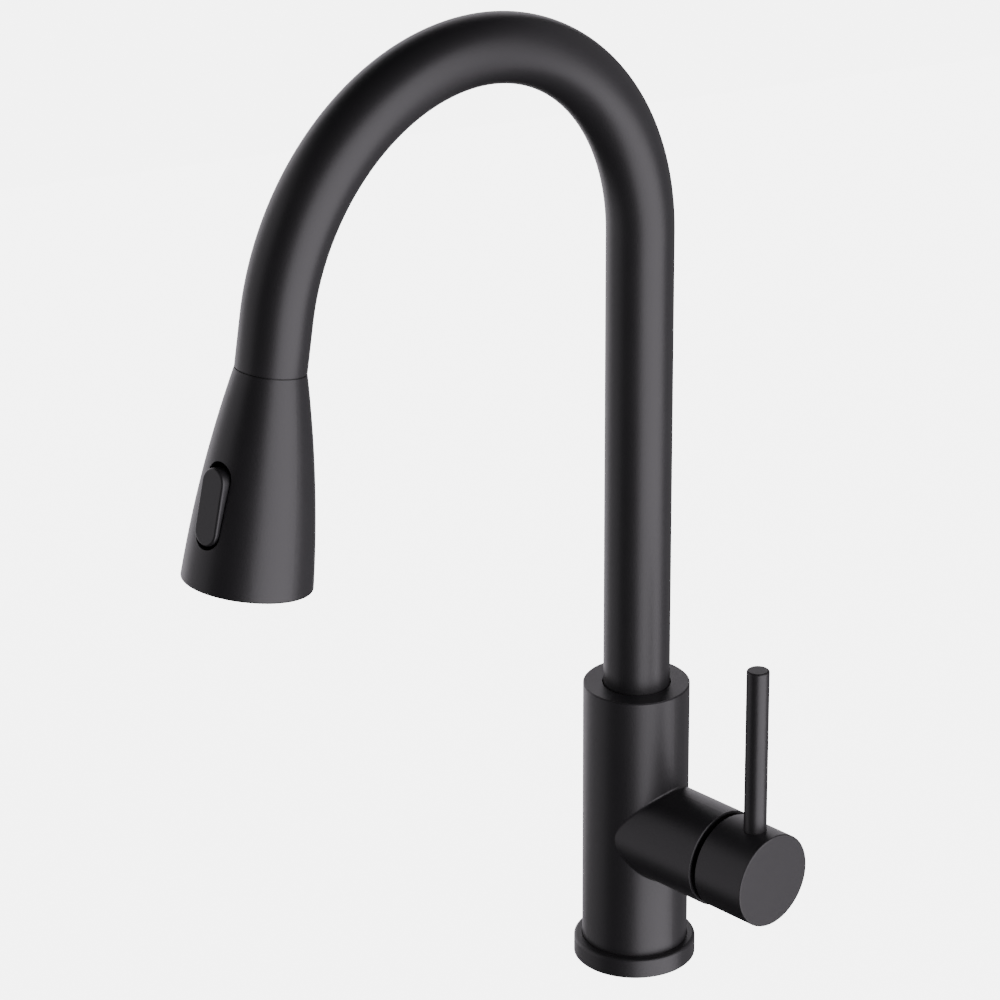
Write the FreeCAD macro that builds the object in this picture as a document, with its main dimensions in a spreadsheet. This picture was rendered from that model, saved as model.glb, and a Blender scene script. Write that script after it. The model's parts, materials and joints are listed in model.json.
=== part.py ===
import FreeCAD, Part

# Single-lever pull-down kitchen faucet: body, swivelling gooseneck, docked spray head, side lever.
#
# Millimetres.  +Z is up, the deck surface is Z = 0, the body's axis is the Z axis, the spout points
# along -Y and the lever knob lies along +X.

import math
import os
from types import SimpleNamespace

import Sketcher

V = FreeCAD.Vector

SIZES = [
    # clearances
    ("shaft_gap", 0.05),         # radial clearance of a shaft that turns or slides in its bore
    ("seat_gap", 0.1),           # clearance of a piece that is slid into its seat and stays there
    ("free_gap", 0.35),          # clearance between neighbours that pass one another
    # body casting
    ("body_radius", 22.5),
    ("body_height", 128.5),
    ("body_edge", 0.5),
    ("cavity_radius", 19.0),
    ("cavity_over_branch", 18.0),  # from the branch's axis to the top of the body's cavity
    # base ring and its gasket
    ("ring_overhang", 3.5),      # how far the ring stands out from the body
    ("ring_height", 8.8),
    ("ring_floor", 3.0),
    ("ring_hole", 17.2),
    ("ring_edge", 0.8),
    ("ring_round", 1.5),
    ("gasket_inset", 2.0),       # from the ring's rim to the gasket
    ("gasket_width", 4.5),
    ("gasket_thickness", 1.5),
    # threaded shank and what clamps it under the deck
    ("shank_radius", 16.0),
    ("shank_bore", 14.25),
    ("shank_flange", 8.0),
    ("shank_below", 60.0),
    ("deck_thickness", 30.0),
    ("rubber_thickness", 3.0),
    ("steel_thickness", 2.0),
    ("washer_radius", 28.0),
    ("nut_radius", 20.5),
    ("nut_height", 13.0),
    ("nut_wing_reach", 27.0),
    ("nut_wing_width", 7.0),
    # waterways in the block inside the body
    ("port_offset_x", 4.5),
    ("port_offset_y", 8.2),
    ("port_radius", 4.5),
    ("port_depth", 12.0),
    ("feed_radius", 2.8),
    ("feed_inset", 1.6),         # how much nearer to the middle the feeds end than they start
    ("return_port_x", 9.2),
    ("return_port_radius", 4.0),
    ("return_feed_radius", 2.3),
    ("return_step_height", 38.0),
    ("return_riser_x", 6.0),
    ("hose_entry_x", 7.6),
    ("hose_entry_height", 8.0),
    ("hose_passage_radius", 6.4),
    # side branch for the cartridge
    ("branch_height", 64.0),
    ("branch_radius", 20.9),
    ("branch_end", 51.8),
    ("branch_bore", 14.2),
    ("mouth_radius", 17.5),
    ("branch_edge", 0.3),
    ("mouth_sink", 2.4),         # the countersink round the mouth of the branch
    ("branch_fillet", 1.0),
    # cartridge, as distances from the body's axis along the branch
    ("seat_x", 10.0),
    ("base_flange", 2.0),
    ("base_thickness", 5.0),
    ("disc_thickness", 3.5),
    ("carrier_thickness", 4.2),
    ("guide_plate", 3.0),
    ("housing_length", 26.0),
    ("housing_bore", 12.2),
    ("neck_radius", 8.2),
    ("neck_end", 40.5),
    ("neck_slot_width", 7.0),
    ("neck_slot_height", 12.8),
    ("moving_disc_radius", 10.0),
    ("carrier_radius", 9.6),
    ("carrier_flat", 8.6),
    ("inlet_hole_y", 4.6),
    ("inlet_hole_z", 4.0),
    ("outlet_hole_z", 4.0),
    ("cartridge_hole", 2.0),
    ("seal_radius", 3.2),
    ("seal_depth", 1.4),
    ("mixing_slot_radius", 3.4),
    ("mixing_slot_half_run", 3.6),
    ("mixing_slot_drop", 1.4),
    ("mixing_slot_depth", 2.0),
    # stem: it leans by half of the lever's stroke when the valve is shut
    ("pivot_x", 32.5),
    ("stem_lean", 12.5),
    ("stem_radius", 3.3),
    ("stem_reach", 35.2),
    ("stem_hub_radius", 3.9),
    ("stem_arm", 7.5),
    ("stem_arm_radius", 1.6),
    ("stem_ball_radius", 2.4),
    ("pivot_pin_radius", 1.5),
    ("pivot_pin_half", 8.0),
    # nut and bonnet that close the branch
    ("nut_inside", 9.0),
    ("nut_run", 7.5),
    ("bonnet_opening", 9.5),
    ("bonnet_rise", 2.8),
    ("bonnet_wall", 1.2),
    ("bonnet_curve", 14.0),
    # knob and lever
    ("knob_gap", 2.5),
    ("knob_radius", 20.3),
    ("knob_length", 25.7),
    ("knob_wall", 1.7),
    ("knob_cavity", 6.7),
    ("knob_edge", 0.5),
    ("boss_radius", 7.0),
    ("boss_start", 25.0),
    ("grub_along_stem", 32.0),
    ("grub_radius", 2.0),
    ("grub_length", 7.0),
    ("grub_socket", 2.0),        # across the flats of its hexagon socket
    ("lever_x", 69.3),
    ("lever_radius", 4.8),
    ("lever_top", 157.4),
    ("lever_top_round", 0.9),
    ("lever_tail_radius", 3.0),
    ("lever_tail_length", 5.0),
    ("lever_seat_height", 17.2),
    # spout tube
    ("tube_radius", 14.0),
    ("tube_wall", 1.2),
    ("tube_seat_up", 18.0),      # from the top of the cavity to the tube's lower end
    ("column_top", 330.0),
    ("arch_radius", 98.5),
    ("outlet_tilt", 10.0),
    ("outlet_run", 20.0),
    # swivel inside the body
    ("swivel_bore", 14.5),
    ("thrust_thickness", 2.0),
    ("foot_bore", 9.5),
    ("foot_spigot", 10.0),
    ("low_glide_up", 4.0),       # grooves of the foot, measured up from the top of the cavity
    ("low_glide_height", 4.0),
    ("low_glide_depth", 1.0),
    ("keeper_groove_up", 13.0),
    ("keeper_groove_height", 5.2),
    ("keeper_groove_depth", 1.4),
    ("high_glide_below", 9.5),   # from the body's top to the bottom of the ring's groove
    ("high_glide_height", 5.0),
    ("high_glide_depth", 1.1),
    ("keeper_radius", 2.45),
    ("keeper_tip_radius", 2.0),
    ("keeper_recess", 2.0),
    ("keeper_socket", 2.5),      # across the flats of its hexagon socket
    # hose
    ("hose_radius", 5.5),
    ("hose_split", 150.0),
    ("hose_end_gap", 0.6),
    # dock between spout and head; distances run along the outlet axis from the spout's end
    ("bush_length", 21.6),
    ("bush_bore", 10.4),
    ("ferrule_radius", 6.4),
    ("ferrule_top", 28.0),
    ("ferrule_length", 13.7),
    ("ferrule_neck_radius", 4.6),
    ("ferrule_flange_radius", 6.8),
    ("ferrule_flange_thickness", 1.4),
    ("ferrule_bore", 3.2),
    ("hose_nut_radius", 9.0),
    ("hose_nut_top", 14.0),
    ("hose_nut_bottom", 1.0),
    ("hose_nut_roof", 1.6),
    ("nipple_radius", 7.6),
    ("nipple_height", 9.1),
    ("collar_radius", 10.1),
    ("collar_height", 10.0),
    ("collar_floor", 1.2),
    # head shell
    ("head_top_radius", 14.0),
    ("head_base_radius", 25.6),
    ("head_length", 85.2),
    ("head_curve", 525.0),
    ("head_wall", 2.0),
    ("head_web", 3.2),
    ("head_base_round", 1.0),
    # core of the head
    ("core_shoulder_radius", 10.4),
    ("core_shoulder", 3.5),
    ("gallery_inside", 11.0),
    ("gallery_outside", 19.6),
    ("gallery_depth", 2.0),
    ("core_pad_back", 5.8),
    ("core_radius", 8.6),
    ("core_inlet_bore", 4.6),
    ("core_inlet_depth", 20.0),
    ("core_throat", 3.2),
    ("spool_bore_top", 26.0),
    ("core_cone_top", 66.0),
    ("core_flange_at", 74.0),
    ("core_flange", 3.5),
    ("core_flange_radius", 22.6),
    ("core_pad_width", 12.0),
    ("core_pad_reach", 11.4),
    # button, a rocker on a pin across the head
    ("button_at", 52.3),
    ("button_pin_y", 15.8),
    ("button_pin_radius", 1.25),
    ("button_half_width", 6.0),
    ("button_half_length", 15.3),
    ("button_inner", 1.4),
    ("button_face", 8.4),
    ("button_edge", 1.0),
    ("button_slope", 7.2),
    ("button_rock", 4.0),
    ("button_hub_radius", 2.4),
    ("tongue_reach", 12.3),
    ("tongue_tip_radius", 1.2),
    ("tongue_width", 4.0),
    ("slot_side_gap", 0.6),
    ("slot_end_gap", 2.0),
    ("frame_half_width", 9.4),
    ("frame_thickness", 1.8),
    ("frame_length", 31.0),
    ("ear_thickness", 2.4),
    ("ear_reach", 1.5),
    ("ear_length", 5.6),
    ("window_width", 5.6),
    ("window_length", 10.0),
    # diverter spool
    ("spool_radius", 5.0),
    ("spool_length", 19.0),
    ("spool_core", 2.2),
    ("spool_seal_width", 1.8),
    ("spool_seal_depth", 0.9),
    ("spool_seal_from_end", 1.6),
    # spray face
    ("mat_thickness", 3.0),
    ("mat_radius", 20.5),
    ("face_thickness", 3.2),
    ("face_radius", 23.0),
    ("nub_radius", 1.2),
    ("nub_proud", 0.6),
    ("outer_ring_radius", 17.8),
    ("inner_ring_radius", 13.2),
    ("outer_ring_count", 18),
    ("inner_ring_count", 12),
    ("aerator_radius", 8.0),
    ("aerator_flange_radius", 9.4),
    ("aerator_flange", 0.9),
    ("aerator_thread", 6.0),
    ("aerator_bore", 6.6),
    ("insert_length", 7.0),
    ("insert_hole", 1.1),
    ("valve_top", 6.0),
    ("valve_length", 10.0),
    ("screen_length", 2.4),
]

doc = FreeCAD.newDocument("PullDownFaucet")
sheet = doc.addObject("Spreadsheet::Sheet", "Sizes")


class Size:
    """A number together with the sheet expression that it comes from."""

    def __init__(self, value, text):
        self.value = value
        self.text = text

    def __add__(self, other):
        other = sized(other)
        return Size(self.value + other.value, "(%s + %s)" % (self.text, other.text))

    def __sub__(self, other):
        other = sized(other)
        return Size(self.value - other.value, "(%s - %s)" % (self.text, other.text))

    def __mul__(self, other):
        other = sized(other)
        return Size(self.value * other.value, "(%s * %s)" % (self.text, other.text))

    def __truediv__(self, other):
        other = sized(other)
        return Size(self.value / other.value, "(%s / %s)" % (self.text, other.text))

    def __radd__(self, other):
        return sized(other) + self

    def __rsub__(self, other):
        return sized(other) - self

    def __rmul__(self, other):
        return sized(other) * self

    def __neg__(self):
        return Size(-self.value, "(-%s)" % self.text)


def sized(value):
    """A plain number as a Size."""
    if isinstance(value, Size):
        return value
    return Size(float(value), "%.6f" % value)


def sin(angle):
    return Size(math.sin(math.radians(angle.value)), "sin(%s)" % angle.text)


def cos(angle):
    return Size(math.cos(math.radians(angle.value)), "cos(%s)" % angle.text)


def tan(angle):
    return Size(math.tan(math.radians(angle.value)), "tan(%s)" % angle.text)


def atan(ratio):
    return Size(math.degrees(math.atan(ratio.value)), "atan(%s)" % ratio.text)


def root(square):
    return Size(math.sqrt(square.value), "sqrt(%s)" % square.text)


def fill_sheet():
    """Writes every driving size into its own cell and returns them by name."""
    named = {}
    for row, (alias, value) in enumerate(SIZES, start=1):
        cell = "A%d" % row
        sheet.set(cell, str(value))
        sheet.setAlias(cell, alias)
        named[alias] = Size(float(value), "Sizes." + alias)
    doc.recompute()
    return SimpleNamespace(**named)


d = fill_sheet()


# ---------------------------------------------------------------- drawing helpers

def bind(item, path, size):
    """Sets a property and ties it to the sheet when the size comes from there."""
    if isinstance(size, Size):
        item.setExpression(path, size.text)


def plane_of(body, role):
    return [feature for feature in body.Origin.OriginFeatures if feature.Role == role][0]


def new_sketch(body, role, shift=(0, 0, 0)):
    """A sketch on an origin plane of its body; shift moves it in the plane's own axes."""
    sketch = body.newObject("Sketcher::SketchObject", body.Name + "_sketch")
    sketch.AttachmentSupport = [(plane_of(body, role), "")]
    sketch.MapMode = "FlatFace"
    sketch.AttachmentOffset = FreeCAD.Placement(V(*[sized(s).value for s in shift]), FreeCAD.Rotation())
    for letter, amount in zip("xyz", shift):
        bind(sketch, "AttachmentOffset.Base." + letter, amount)
    return sketch


def fix_point(sketch, geometry, corner, x, y):
    """Holds a point of the sketch at x, y."""
    for kind, value in (("DistanceX", x), ("DistanceY", y)):
        rule = Sketcher.Constraint(kind, -1, 1, geometry, corner, sized(value).value)
        index = sketch.addConstraint(rule)
        bind(sketch, "Constraints[%d]" % index, value)


def arc_between(start, end, radius):
    """The short arc from start to end; a positive radius turns left, a negative one right."""
    size = abs(radius)
    chord = end - start
    depth = math.sqrt(max(size ** 2 - (chord.Length / 2) ** 2, 0.0))
    left = V(-chord.y, chord.x, 0).normalize()
    side = 1 if radius > 0 else -1
    centre = (start + end) * 0.5 + left * (side * depth)
    first, last = (start, end) if radius > 0 else (end, start)
    from_angle, to_angle = [math.atan2(p.y - centre.y, p.x - centre.x) for p in (first, last)]
    return Part.ArcOfCircle(Part.Circle(centre, V(0, 0, 1), size), from_angle, to_angle)


def draw(sketch, corners, closed=True):
    """Draws an outline.  A corner is (x, y), or (x, y, radius) when an arc leads to it."""
    points = [V(sized(c[0]).value, sized(c[1]).value, 0) for c in corners]
    count = len(points)
    edges = []
    steps = range(count) if closed else range(count - 1)
    for step in steps:
        following = (step + 1) % count
        corner = corners[following]
        if len(corner) == 3:
            radius = sized(corner[2])
            arc = arc_between(points[step], points[following], radius.value)
            index = sketch.addGeometry(arc, False)
            edges.append((index, 1, 2) if radius.value > 0 else (index, 2, 1))
            size = radius if radius.value > 0 else -radius
            rule = sketch.addConstraint(Sketcher.Constraint("Radius", index, size.value))
            bind(sketch, "Constraints[%d]" % rule, size)
        else:
            line = Part.LineSegment(points[step], points[following])
            edges.append((sketch.addGeometry(line, False), 1, 2))
    for step, (index, start, end) in enumerate(edges):
        fix_point(sketch, index, start, corners[step][0], corners[step][1])
        if closed or step + 1 < len(edges):
            other, other_start, _ = edges[(step + 1) % len(edges)]
            sketch.addConstraint(Sketcher.Constraint("Coincident", index, end, other, other_start))
    if not closed:
        index, _, end = edges[-1]
        fix_point(sketch, index, end, corners[-1][0], corners[-1][1])
    return sketch


def draw_circle(sketch, x, y, radius):
    centre = V(sized(x).value, sized(y).value, 0)
    index = sketch.addGeometry(Part.Circle(centre, V(0, 0, 1), sized(radius).value), False)
    fix_point(sketch, index, 3, x, y)
    rule = sketch.addConstraint(Sketcher.Constraint("Radius", index, sized(radius).value))
    bind(sketch, "Constraints[%d]" % rule, radius)
    return sketch


def draw_slot(sketch, half_width, half_length, x=0, y=0):
    """A slot outline with round ends, long in the sketch's second axis."""
    top = y + half_length - half_width
    low = y - half_length + half_width
    corners = [
        (x + half_width, low, half_width),
        (x + half_width, top),
        (x, top + half_width, half_width),
        (x - half_width, top, half_width),
        (x - half_width, low),
        (x, low - half_width, half_width),
    ]
    return draw(sketch, corners)


def draw_box(sketch, x_low, x_high, y_low, y_high):
    return draw(sketch, [(x_low, y_low), (x_high, y_low), (x_high, y_high), (x_low, y_high)])


# ---------------------------------------------------------------- feature helpers

def new_body(label):
    body = doc.addObject("PartDesign::Body", label)
    body.Label = label
    return body


def revolve(body, corners, cut=False, role="XZ_Plane", axis="V_Axis", shift=(0, 0, 0)):
    """Turns an outline about an axis of its sketch, as a solid or as a groove."""
    sketch = draw(new_sketch(body, role, shift), corners)
    kind = "PartDesign::Groove" if cut else "PartDesign::Revolution"
    feature = body.newObject(kind, body.Name + "_turn")
    feature.Profile = sketch
    feature.ReferenceAxis = (sketch, [axis])
    feature.Angle = 360
    return settle(body, feature, cut)


def extrude(body, sketch, length, cut=False, reverse=False, both=False):
    """Pads or pockets a finished sketch over a length."""
    kind = "PartDesign::Pocket" if cut else "PartDesign::Pad"
    feature = body.newObject(kind, body.Name + ("_pocket" if cut else "_pad"))
    feature.Profile = sketch
    feature.Length = sized(length).value
    bind(feature, "Length", length)
    feature.Reversed = reverse
    feature.Midplane = both
    return settle(body, feature, cut)


def settle(body, feature, cut):
    """Recomputes and makes sure that the feature changed its body the right way."""
    before = body.Shape.Volume if not body.Shape.isNull() else 0.0
    doc.recompute()
    change = body.Shape.Volume - before
    if (cut and change > -1e-3) or (not cut and change < 1e-3):
        raise RuntimeError("%s changes nothing (%.3f)" % (feature.Name, change))
    return feature


def soften_joint(body, radius, other_radius, fillet_radius):
    """Rounds the inside corner where two round surfaces of a body meet."""
    base = body.Tip
    wanted = sorted((radius.value, other_radius.value))
    names = []
    for number, edge in enumerate(base.Shape.Edges, 1):
        faces = base.Shape.ancestorsOfType(edge, Part.Face)
        radii = sorted(face.Surface.Radius for face in faces if isinstance(face.Surface, Part.Cylinder))
        if len(radii) == 2 and max(abs(a - b) for a, b in zip(radii, wanted)) < 1e-6:
            names.append("Edge%d" % number)
    fillet = body.newObject("PartDesign::Fillet", body.Name + "_fillet")
    fillet.Base = (base, names)
    fillet.Radius = fillet_radius.value
    bind(fillet, "Radius", fillet_radius)
    return settle(body, fillet, cut=False)


def repeat(body, feature, count):
    """Repeats a feature round the body's Z axis."""
    pattern = body.newObject("PartDesign::PolarPattern", body.Name + "_pattern")
    pattern.Originals = [feature]
    pattern.Axis = (feature.Profile[0], ["N_Axis"])
    pattern.Angle = 360
    pattern.Occurrences = int(count.value)
    bind(pattern, "Occurrences", count)
    body.Tip = pattern
    doc.recompute()
    return pattern


def turned(label, corners):
    """A body made by turning one outline about its Z axis."""
    body = new_body(label)
    revolve(body, corners)
    return body


def ring(label, inside, outside, low, high, edge=None):
    """A plain turned ring, or one with its outer edges chamfered."""
    if edge is None:
        return turned(label, [(inside, low), (outside, low), (outside, high), (inside, high)])
    return turned(label, [(inside, low), (outside - edge, low), (outside, low + edge),
                          (outside, high - edge), (outside - edge, high), (inside, high)])


def sink_socket(screw, end, across, depth, upward=False):
    """Sinks a hexagon socket into the end of a screw that lies along Z."""
    half = across / 2
    corner = across / root(sized(3))
    hexagon = new_sketch(screw, "XY_Plane", (0, 0, end))
    draw(hexagon, [(corner, 0), (corner / 2, half), (-corner / 2, half),
                   (-corner, 0), (-corner / 2, -half), (corner / 2, -half)])
    extrude(screw, hexagon, depth, cut=True, reverse=upward)


def cylinder(name, radius, height, place):
    """A Part cylinder along the Z axis of its place, used as a blank or as a drill."""
    item = doc.addObject("Part::Cylinder", name)
    item.Radius = sized(radius).value
    item.Height = sized(height).value
    bind(item, "Radius", radius)
    bind(item, "Height", height)
    put(item, place)
    return item


def combine(kind, label, base, tools):
    """Cuts the tools from the base, or fuses them to it."""
    tool = tools[0]
    if len(tools) > 1:
        tool = doc.addObject("Part::MultiFuse", label + "_tools")
        tool.Shapes = tools
    if kind == "cut":
        item = doc.addObject("Part::Cut", label)
        item.Base = base
        item.Tool = tool
    else:
        item = doc.addObject("Part::MultiFuse", label)
        item.Shapes = [base] + tools
    item.Label = label
    doc.recompute()
    volume = base.Shape.Volume
    grew = item.Shape.Volume - volume
    if (kind == "cut" and grew > -1e-3) or (kind == "fuse" and grew < 1e-3):
        raise RuntimeError("%s: a %s changes nothing" % (label, kind))
    return item


class Place:
    """A position and one turn about a fixed axis, both tied to the sheet."""

    def __init__(self, x=0, y=0, z=0, axis=(0, 0, 1), angle=0):
        self.position = (sized(x), sized(y), sized(z))
        self.axis = axis
        self.angle = sized(angle)

    def shifted(self, x, y, z):
        """The same turn, moved by x, y, z measured in the turned frame."""
        x, y, z = sized(x), sized(y), sized(z)
        px, py, pz = self.position
        s = sin(self.angle)
        c = cos(self.angle)
        if self.axis == (1, 0, 0):
            moved = (px + x, py + y * c - z * s, pz + y * s + z * c)
        elif self.axis == (0, 1, 0):
            moved = (px + x * c + z * s, py + y, pz - x * s + z * c)
        else:
            moved = (px + x * c - y * s, py + x * s + y * c, pz + z)
        return Place(*moved, self.axis, self.angle)

    def turned_more(self, angle):
        """The same position, turned further about the same axis."""
        return Place(*self.position, self.axis, self.angle + angle)


def put(item, place):
    """Gives an object its placement and ties it to the sheet."""
    turn = FreeCAD.Rotation(V(*place.axis), place.angle.value)
    item.Placement = FreeCAD.Placement(V(*[p.value for p in place.position]), turn)
    for letter, amount in zip("xyz", place.position):
        bind(item, "Placement.Base." + letter, amount)
    if place.angle.value:
        bind(item, "Placement.Rotation.Angle", place.angle)
    return item


PLAIN = Place()
ALONG_X = Place(0, 0, d.branch_height, (0, 1, 0), 90)

nodes = []


def group(label, items):
    """Several equal pieces that share one node, as separate solids."""
    item = doc.addObject("Part::Compound", label)
    item.Label = label
    item.Links = items
    doc.recompute()
    return item


def keep(item, place=PLAIN):
    """Places a finished piece and lists it for export."""
    if place is not PLAIN:
        put(item, place)
    nodes.append(item)
    return item


# ---------------------------------------------------------------- base ring and deck fixing

def cavity_top():
    return d.branch_height + d.cavity_over_branch


def tube_bottom():
    return cavity_top() + d.tube_seat_up


def keeper_height():
    """Middle of the groove that the keeper screw runs in."""
    return cavity_top() + d.keeper_groove_up


def high_glide_low():
    return d.body_height - d.high_glide_below


def make_base():
    bore = d.body_radius + d.free_gap / 2
    rim = d.body_radius + d.ring_overhang
    gasket_outside = rim - d.gasket_inset
    gasket_inside = gasket_outside - d.gasket_width
    keep(turned("base_ring", [
        (d.ring_hole, 0),
        (gasket_inside, 0),
        (gasket_inside, d.gasket_thickness),
        (gasket_outside, d.gasket_thickness),
        (gasket_outside, 0),
        (rim - d.ring_edge / 2, 0),
        (rim, d.ring_edge / 2),
        (rim, d.ring_height - d.ring_round),
        (rim - d.ring_round, d.ring_height, d.ring_round),
        (bore, d.ring_height),
        (bore, d.ring_floor),
        (d.ring_hole, d.ring_floor),
    ]))
    keep(ring("base_gasket", gasket_inside, gasket_outside, 0, d.gasket_thickness))
    flange = d.cavity_radius - d.shaft_gap
    top = d.ring_floor + d.shank_flange
    keep(turned("threaded_shank", [
        (d.shank_bore, -d.shank_below),
        (d.shank_radius - d.ring_edge, -d.shank_below),
        (d.shank_radius, -d.shank_below + d.ring_edge),
        (d.shank_radius, d.ring_floor),
        (flange, d.ring_floor),
        (flange, top),
        (d.shank_bore, top),
    ]))
    hole = d.shank_radius + d.free_gap
    rubber_top = -d.deck_thickness
    steel_top = rubber_top - d.rubber_thickness
    nut_top = steel_top - d.steel_thickness
    keep(ring("rubber_washer", hole, d.washer_radius, steel_top, rubber_top))
    keep(ring("steel_washer", hole, d.washer_radius, nut_top, steel_top))
    make_mounting_nut(nut_top)


def make_mounting_nut(top):
    """A round nut with four wings for the fingers, threaded on the shank."""
    nut = new_body("mounting_nut")
    bore = d.shank_radius + d.shaft_gap
    low = top - d.nut_height
    revolve(nut, [(bore, low), (d.nut_radius, low), (d.nut_radius, top - d.steel_thickness),
                  (d.nut_radius + d.steel_thickness, top - d.steel_thickness),
                  (d.nut_radius + d.steel_thickness, top), (bore, top)])
    wing = new_sketch(nut, "XY_Plane", (0, 0, low))
    half = d.nut_wing_width / 2
    draw_box(wing, d.nut_radius - d.steel_thickness, d.nut_wing_reach, -half, half)
    pad = extrude(nut, wing, d.nut_height)
    repeat(nut, pad, sized(4))
    keep(nut)


# ---------------------------------------------------------------- body casting

def make_casting():
    """The column foot with its side branch: one casting, bored from below, above and the side."""
    casting = new_body("body_casting")
    low = d.ring_floor
    edge = d.body_edge
    revolve(casting, [(0, low), (d.body_radius - edge, low), (d.body_radius, low + edge),
                      (d.body_radius, d.body_height - edge), (d.body_radius - edge, d.body_height),
                      (0, d.body_height)])
    trim = d.branch_edge
    revolve(casting, [(0, 0), (0, d.branch_radius), (d.branch_end - trim, d.branch_radius),
                      (d.branch_end, d.branch_radius - trim), (d.branch_end, 0)],
            axis="H_Axis", shift=(0, d.branch_height, 0))
    soften_joint(casting, d.body_radius, d.branch_radius, d.branch_fillet)
    groove = d.swivel_bore + d.high_glide_depth
    groove_low = high_glide_low()
    groove_top = groove_low + d.high_glide_height
    roof = cavity_top()
    revolve(casting, [(0, low), (d.cavity_radius, low), (d.cavity_radius, roof),
                      (d.swivel_bore, roof), (d.swivel_bore, groove_low),
                      (groove, groove_low), (groove, groove_top), (d.swivel_bore, groove_top),
                      (d.swivel_bore, d.body_height), (0, d.body_height)], cut=True)
    housing_front = d.seat_x + d.base_flange + d.housing_length
    revolve(casting, [(0, 0), (0, d.branch_bore), (housing_front, d.branch_bore),
                      (housing_front, d.mouth_radius), (d.branch_end - d.mouth_sink, d.mouth_radius),
                      (d.branch_end, d.mouth_radius + d.mouth_sink), (d.branch_end, 0)], cut=True, axis="H_Axis", shift=(0, d.branch_height, 0))
    hole = new_sketch(casting, "XZ_Plane")
    draw_circle(hole, 0, keeper_height(), d.keeper_radius + d.shaft_gap)
    extrude(casting, hole, d.body_radius * 1.1, cut=True, reverse=False)
    keep(casting)


def make_keeper_screw():
    """The grub screw behind the body whose point keeps the spout from lifting out."""
    groove = d.swivel_bore - d.seat_gap - d.keeper_groove_depth
    tip = groove + d.seat_gap
    shoulder = d.swivel_bore + d.seat_gap
    outer = d.body_radius - d.keeper_recess
    screw = turned("spout_keeper_screw", [
        (0, tip), (d.keeper_tip_radius, tip), (d.keeper_tip_radius, shoulder),
        (d.keeper_radius, shoulder), (d.keeper_radius, outer), (0, outer)])
    sink_socket(screw, outer, d.keeper_socket, d.keeper_radius)
    keep(screw, Place(0, 0, keeper_height(), (1, 0, 0), -90))


# ---------------------------------------------------------------- waterways inside the body

def make_waterway():
    """The block that fills the body: three ports below, three holes at the cartridge's seat."""
    low = d.ring_floor + d.shank_flange
    height = cavity_top() - low
    radius = d.cavity_radius - d.seat_gap
    blank = cylinder("waterway_blank", radius, height, Place(0, 0, low))
    drills = []
    inlet_height = d.branch_height + d.inlet_hole_z
    for side in (1, -1):
        y = side * d.port_offset_y
        drills.append(cylinder("port_drill", d.port_radius, d.port_depth, Place(d.port_offset_x, y, low)))
        feed_height = inlet_height - low + d.cartridge_hole
        drills.append(cylinder("feed_drill", d.feed_radius, feed_height, Place(d.port_offset_x, y, low)))
        reach = d.seat_x - d.port_offset_x
        drills.append(cylinder("seat_drill", d.feed_radius, reach,
                               Place(d.port_offset_x, side * (d.port_offset_y - d.feed_inset), inlet_height,
                                     (0, 1, 0), 90)))
    drills.append(cylinder("return_port_drill", d.return_port_radius, d.port_depth,
                           Place(d.return_port_x, 0, low)))
    step = d.return_step_height
    radius = d.return_feed_radius
    drills.append(cylinder("return_low_drill", radius, step - low, Place(d.return_port_x, 0, low)))
    drills.append(cylinder("return_cross_drill", radius, d.return_port_x - d.return_riser_x,
                           Place(d.return_riser_x, 0, step, (0, 1, 0), 90)))
    outlet_height = d.branch_height - d.outlet_hole_z
    drills.append(cylinder("return_riser_drill", radius, outlet_height - step,
                           Place(d.return_riser_x, 0, step)))
    drills.append(cylinder("return_seat_drill", radius, d.seat_x - d.return_riser_x,
                           Place(d.return_riser_x, 0, outlet_height, (0, 1, 0), 90)))
    lean = atan(d.hose_entry_x / (d.body_height - d.hose_entry_height))
    drills.append(cylinder("hose_passage_drill", d.hose_passage_radius, height * 1.2,
                           Place(-d.hose_entry_x, 0, d.hose_entry_height, (0, 1, 0), lean)))
    drills.append(cylinder("cartridge_drill", d.branch_bore, d.body_radius,
                           Place(d.seat_x, 0, d.branch_height, (0, 1, 0), 90)))
    keep(combine("cut", "waterway_block", blank, drills))


# ---------------------------------------------------------------- cartridge

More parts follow.
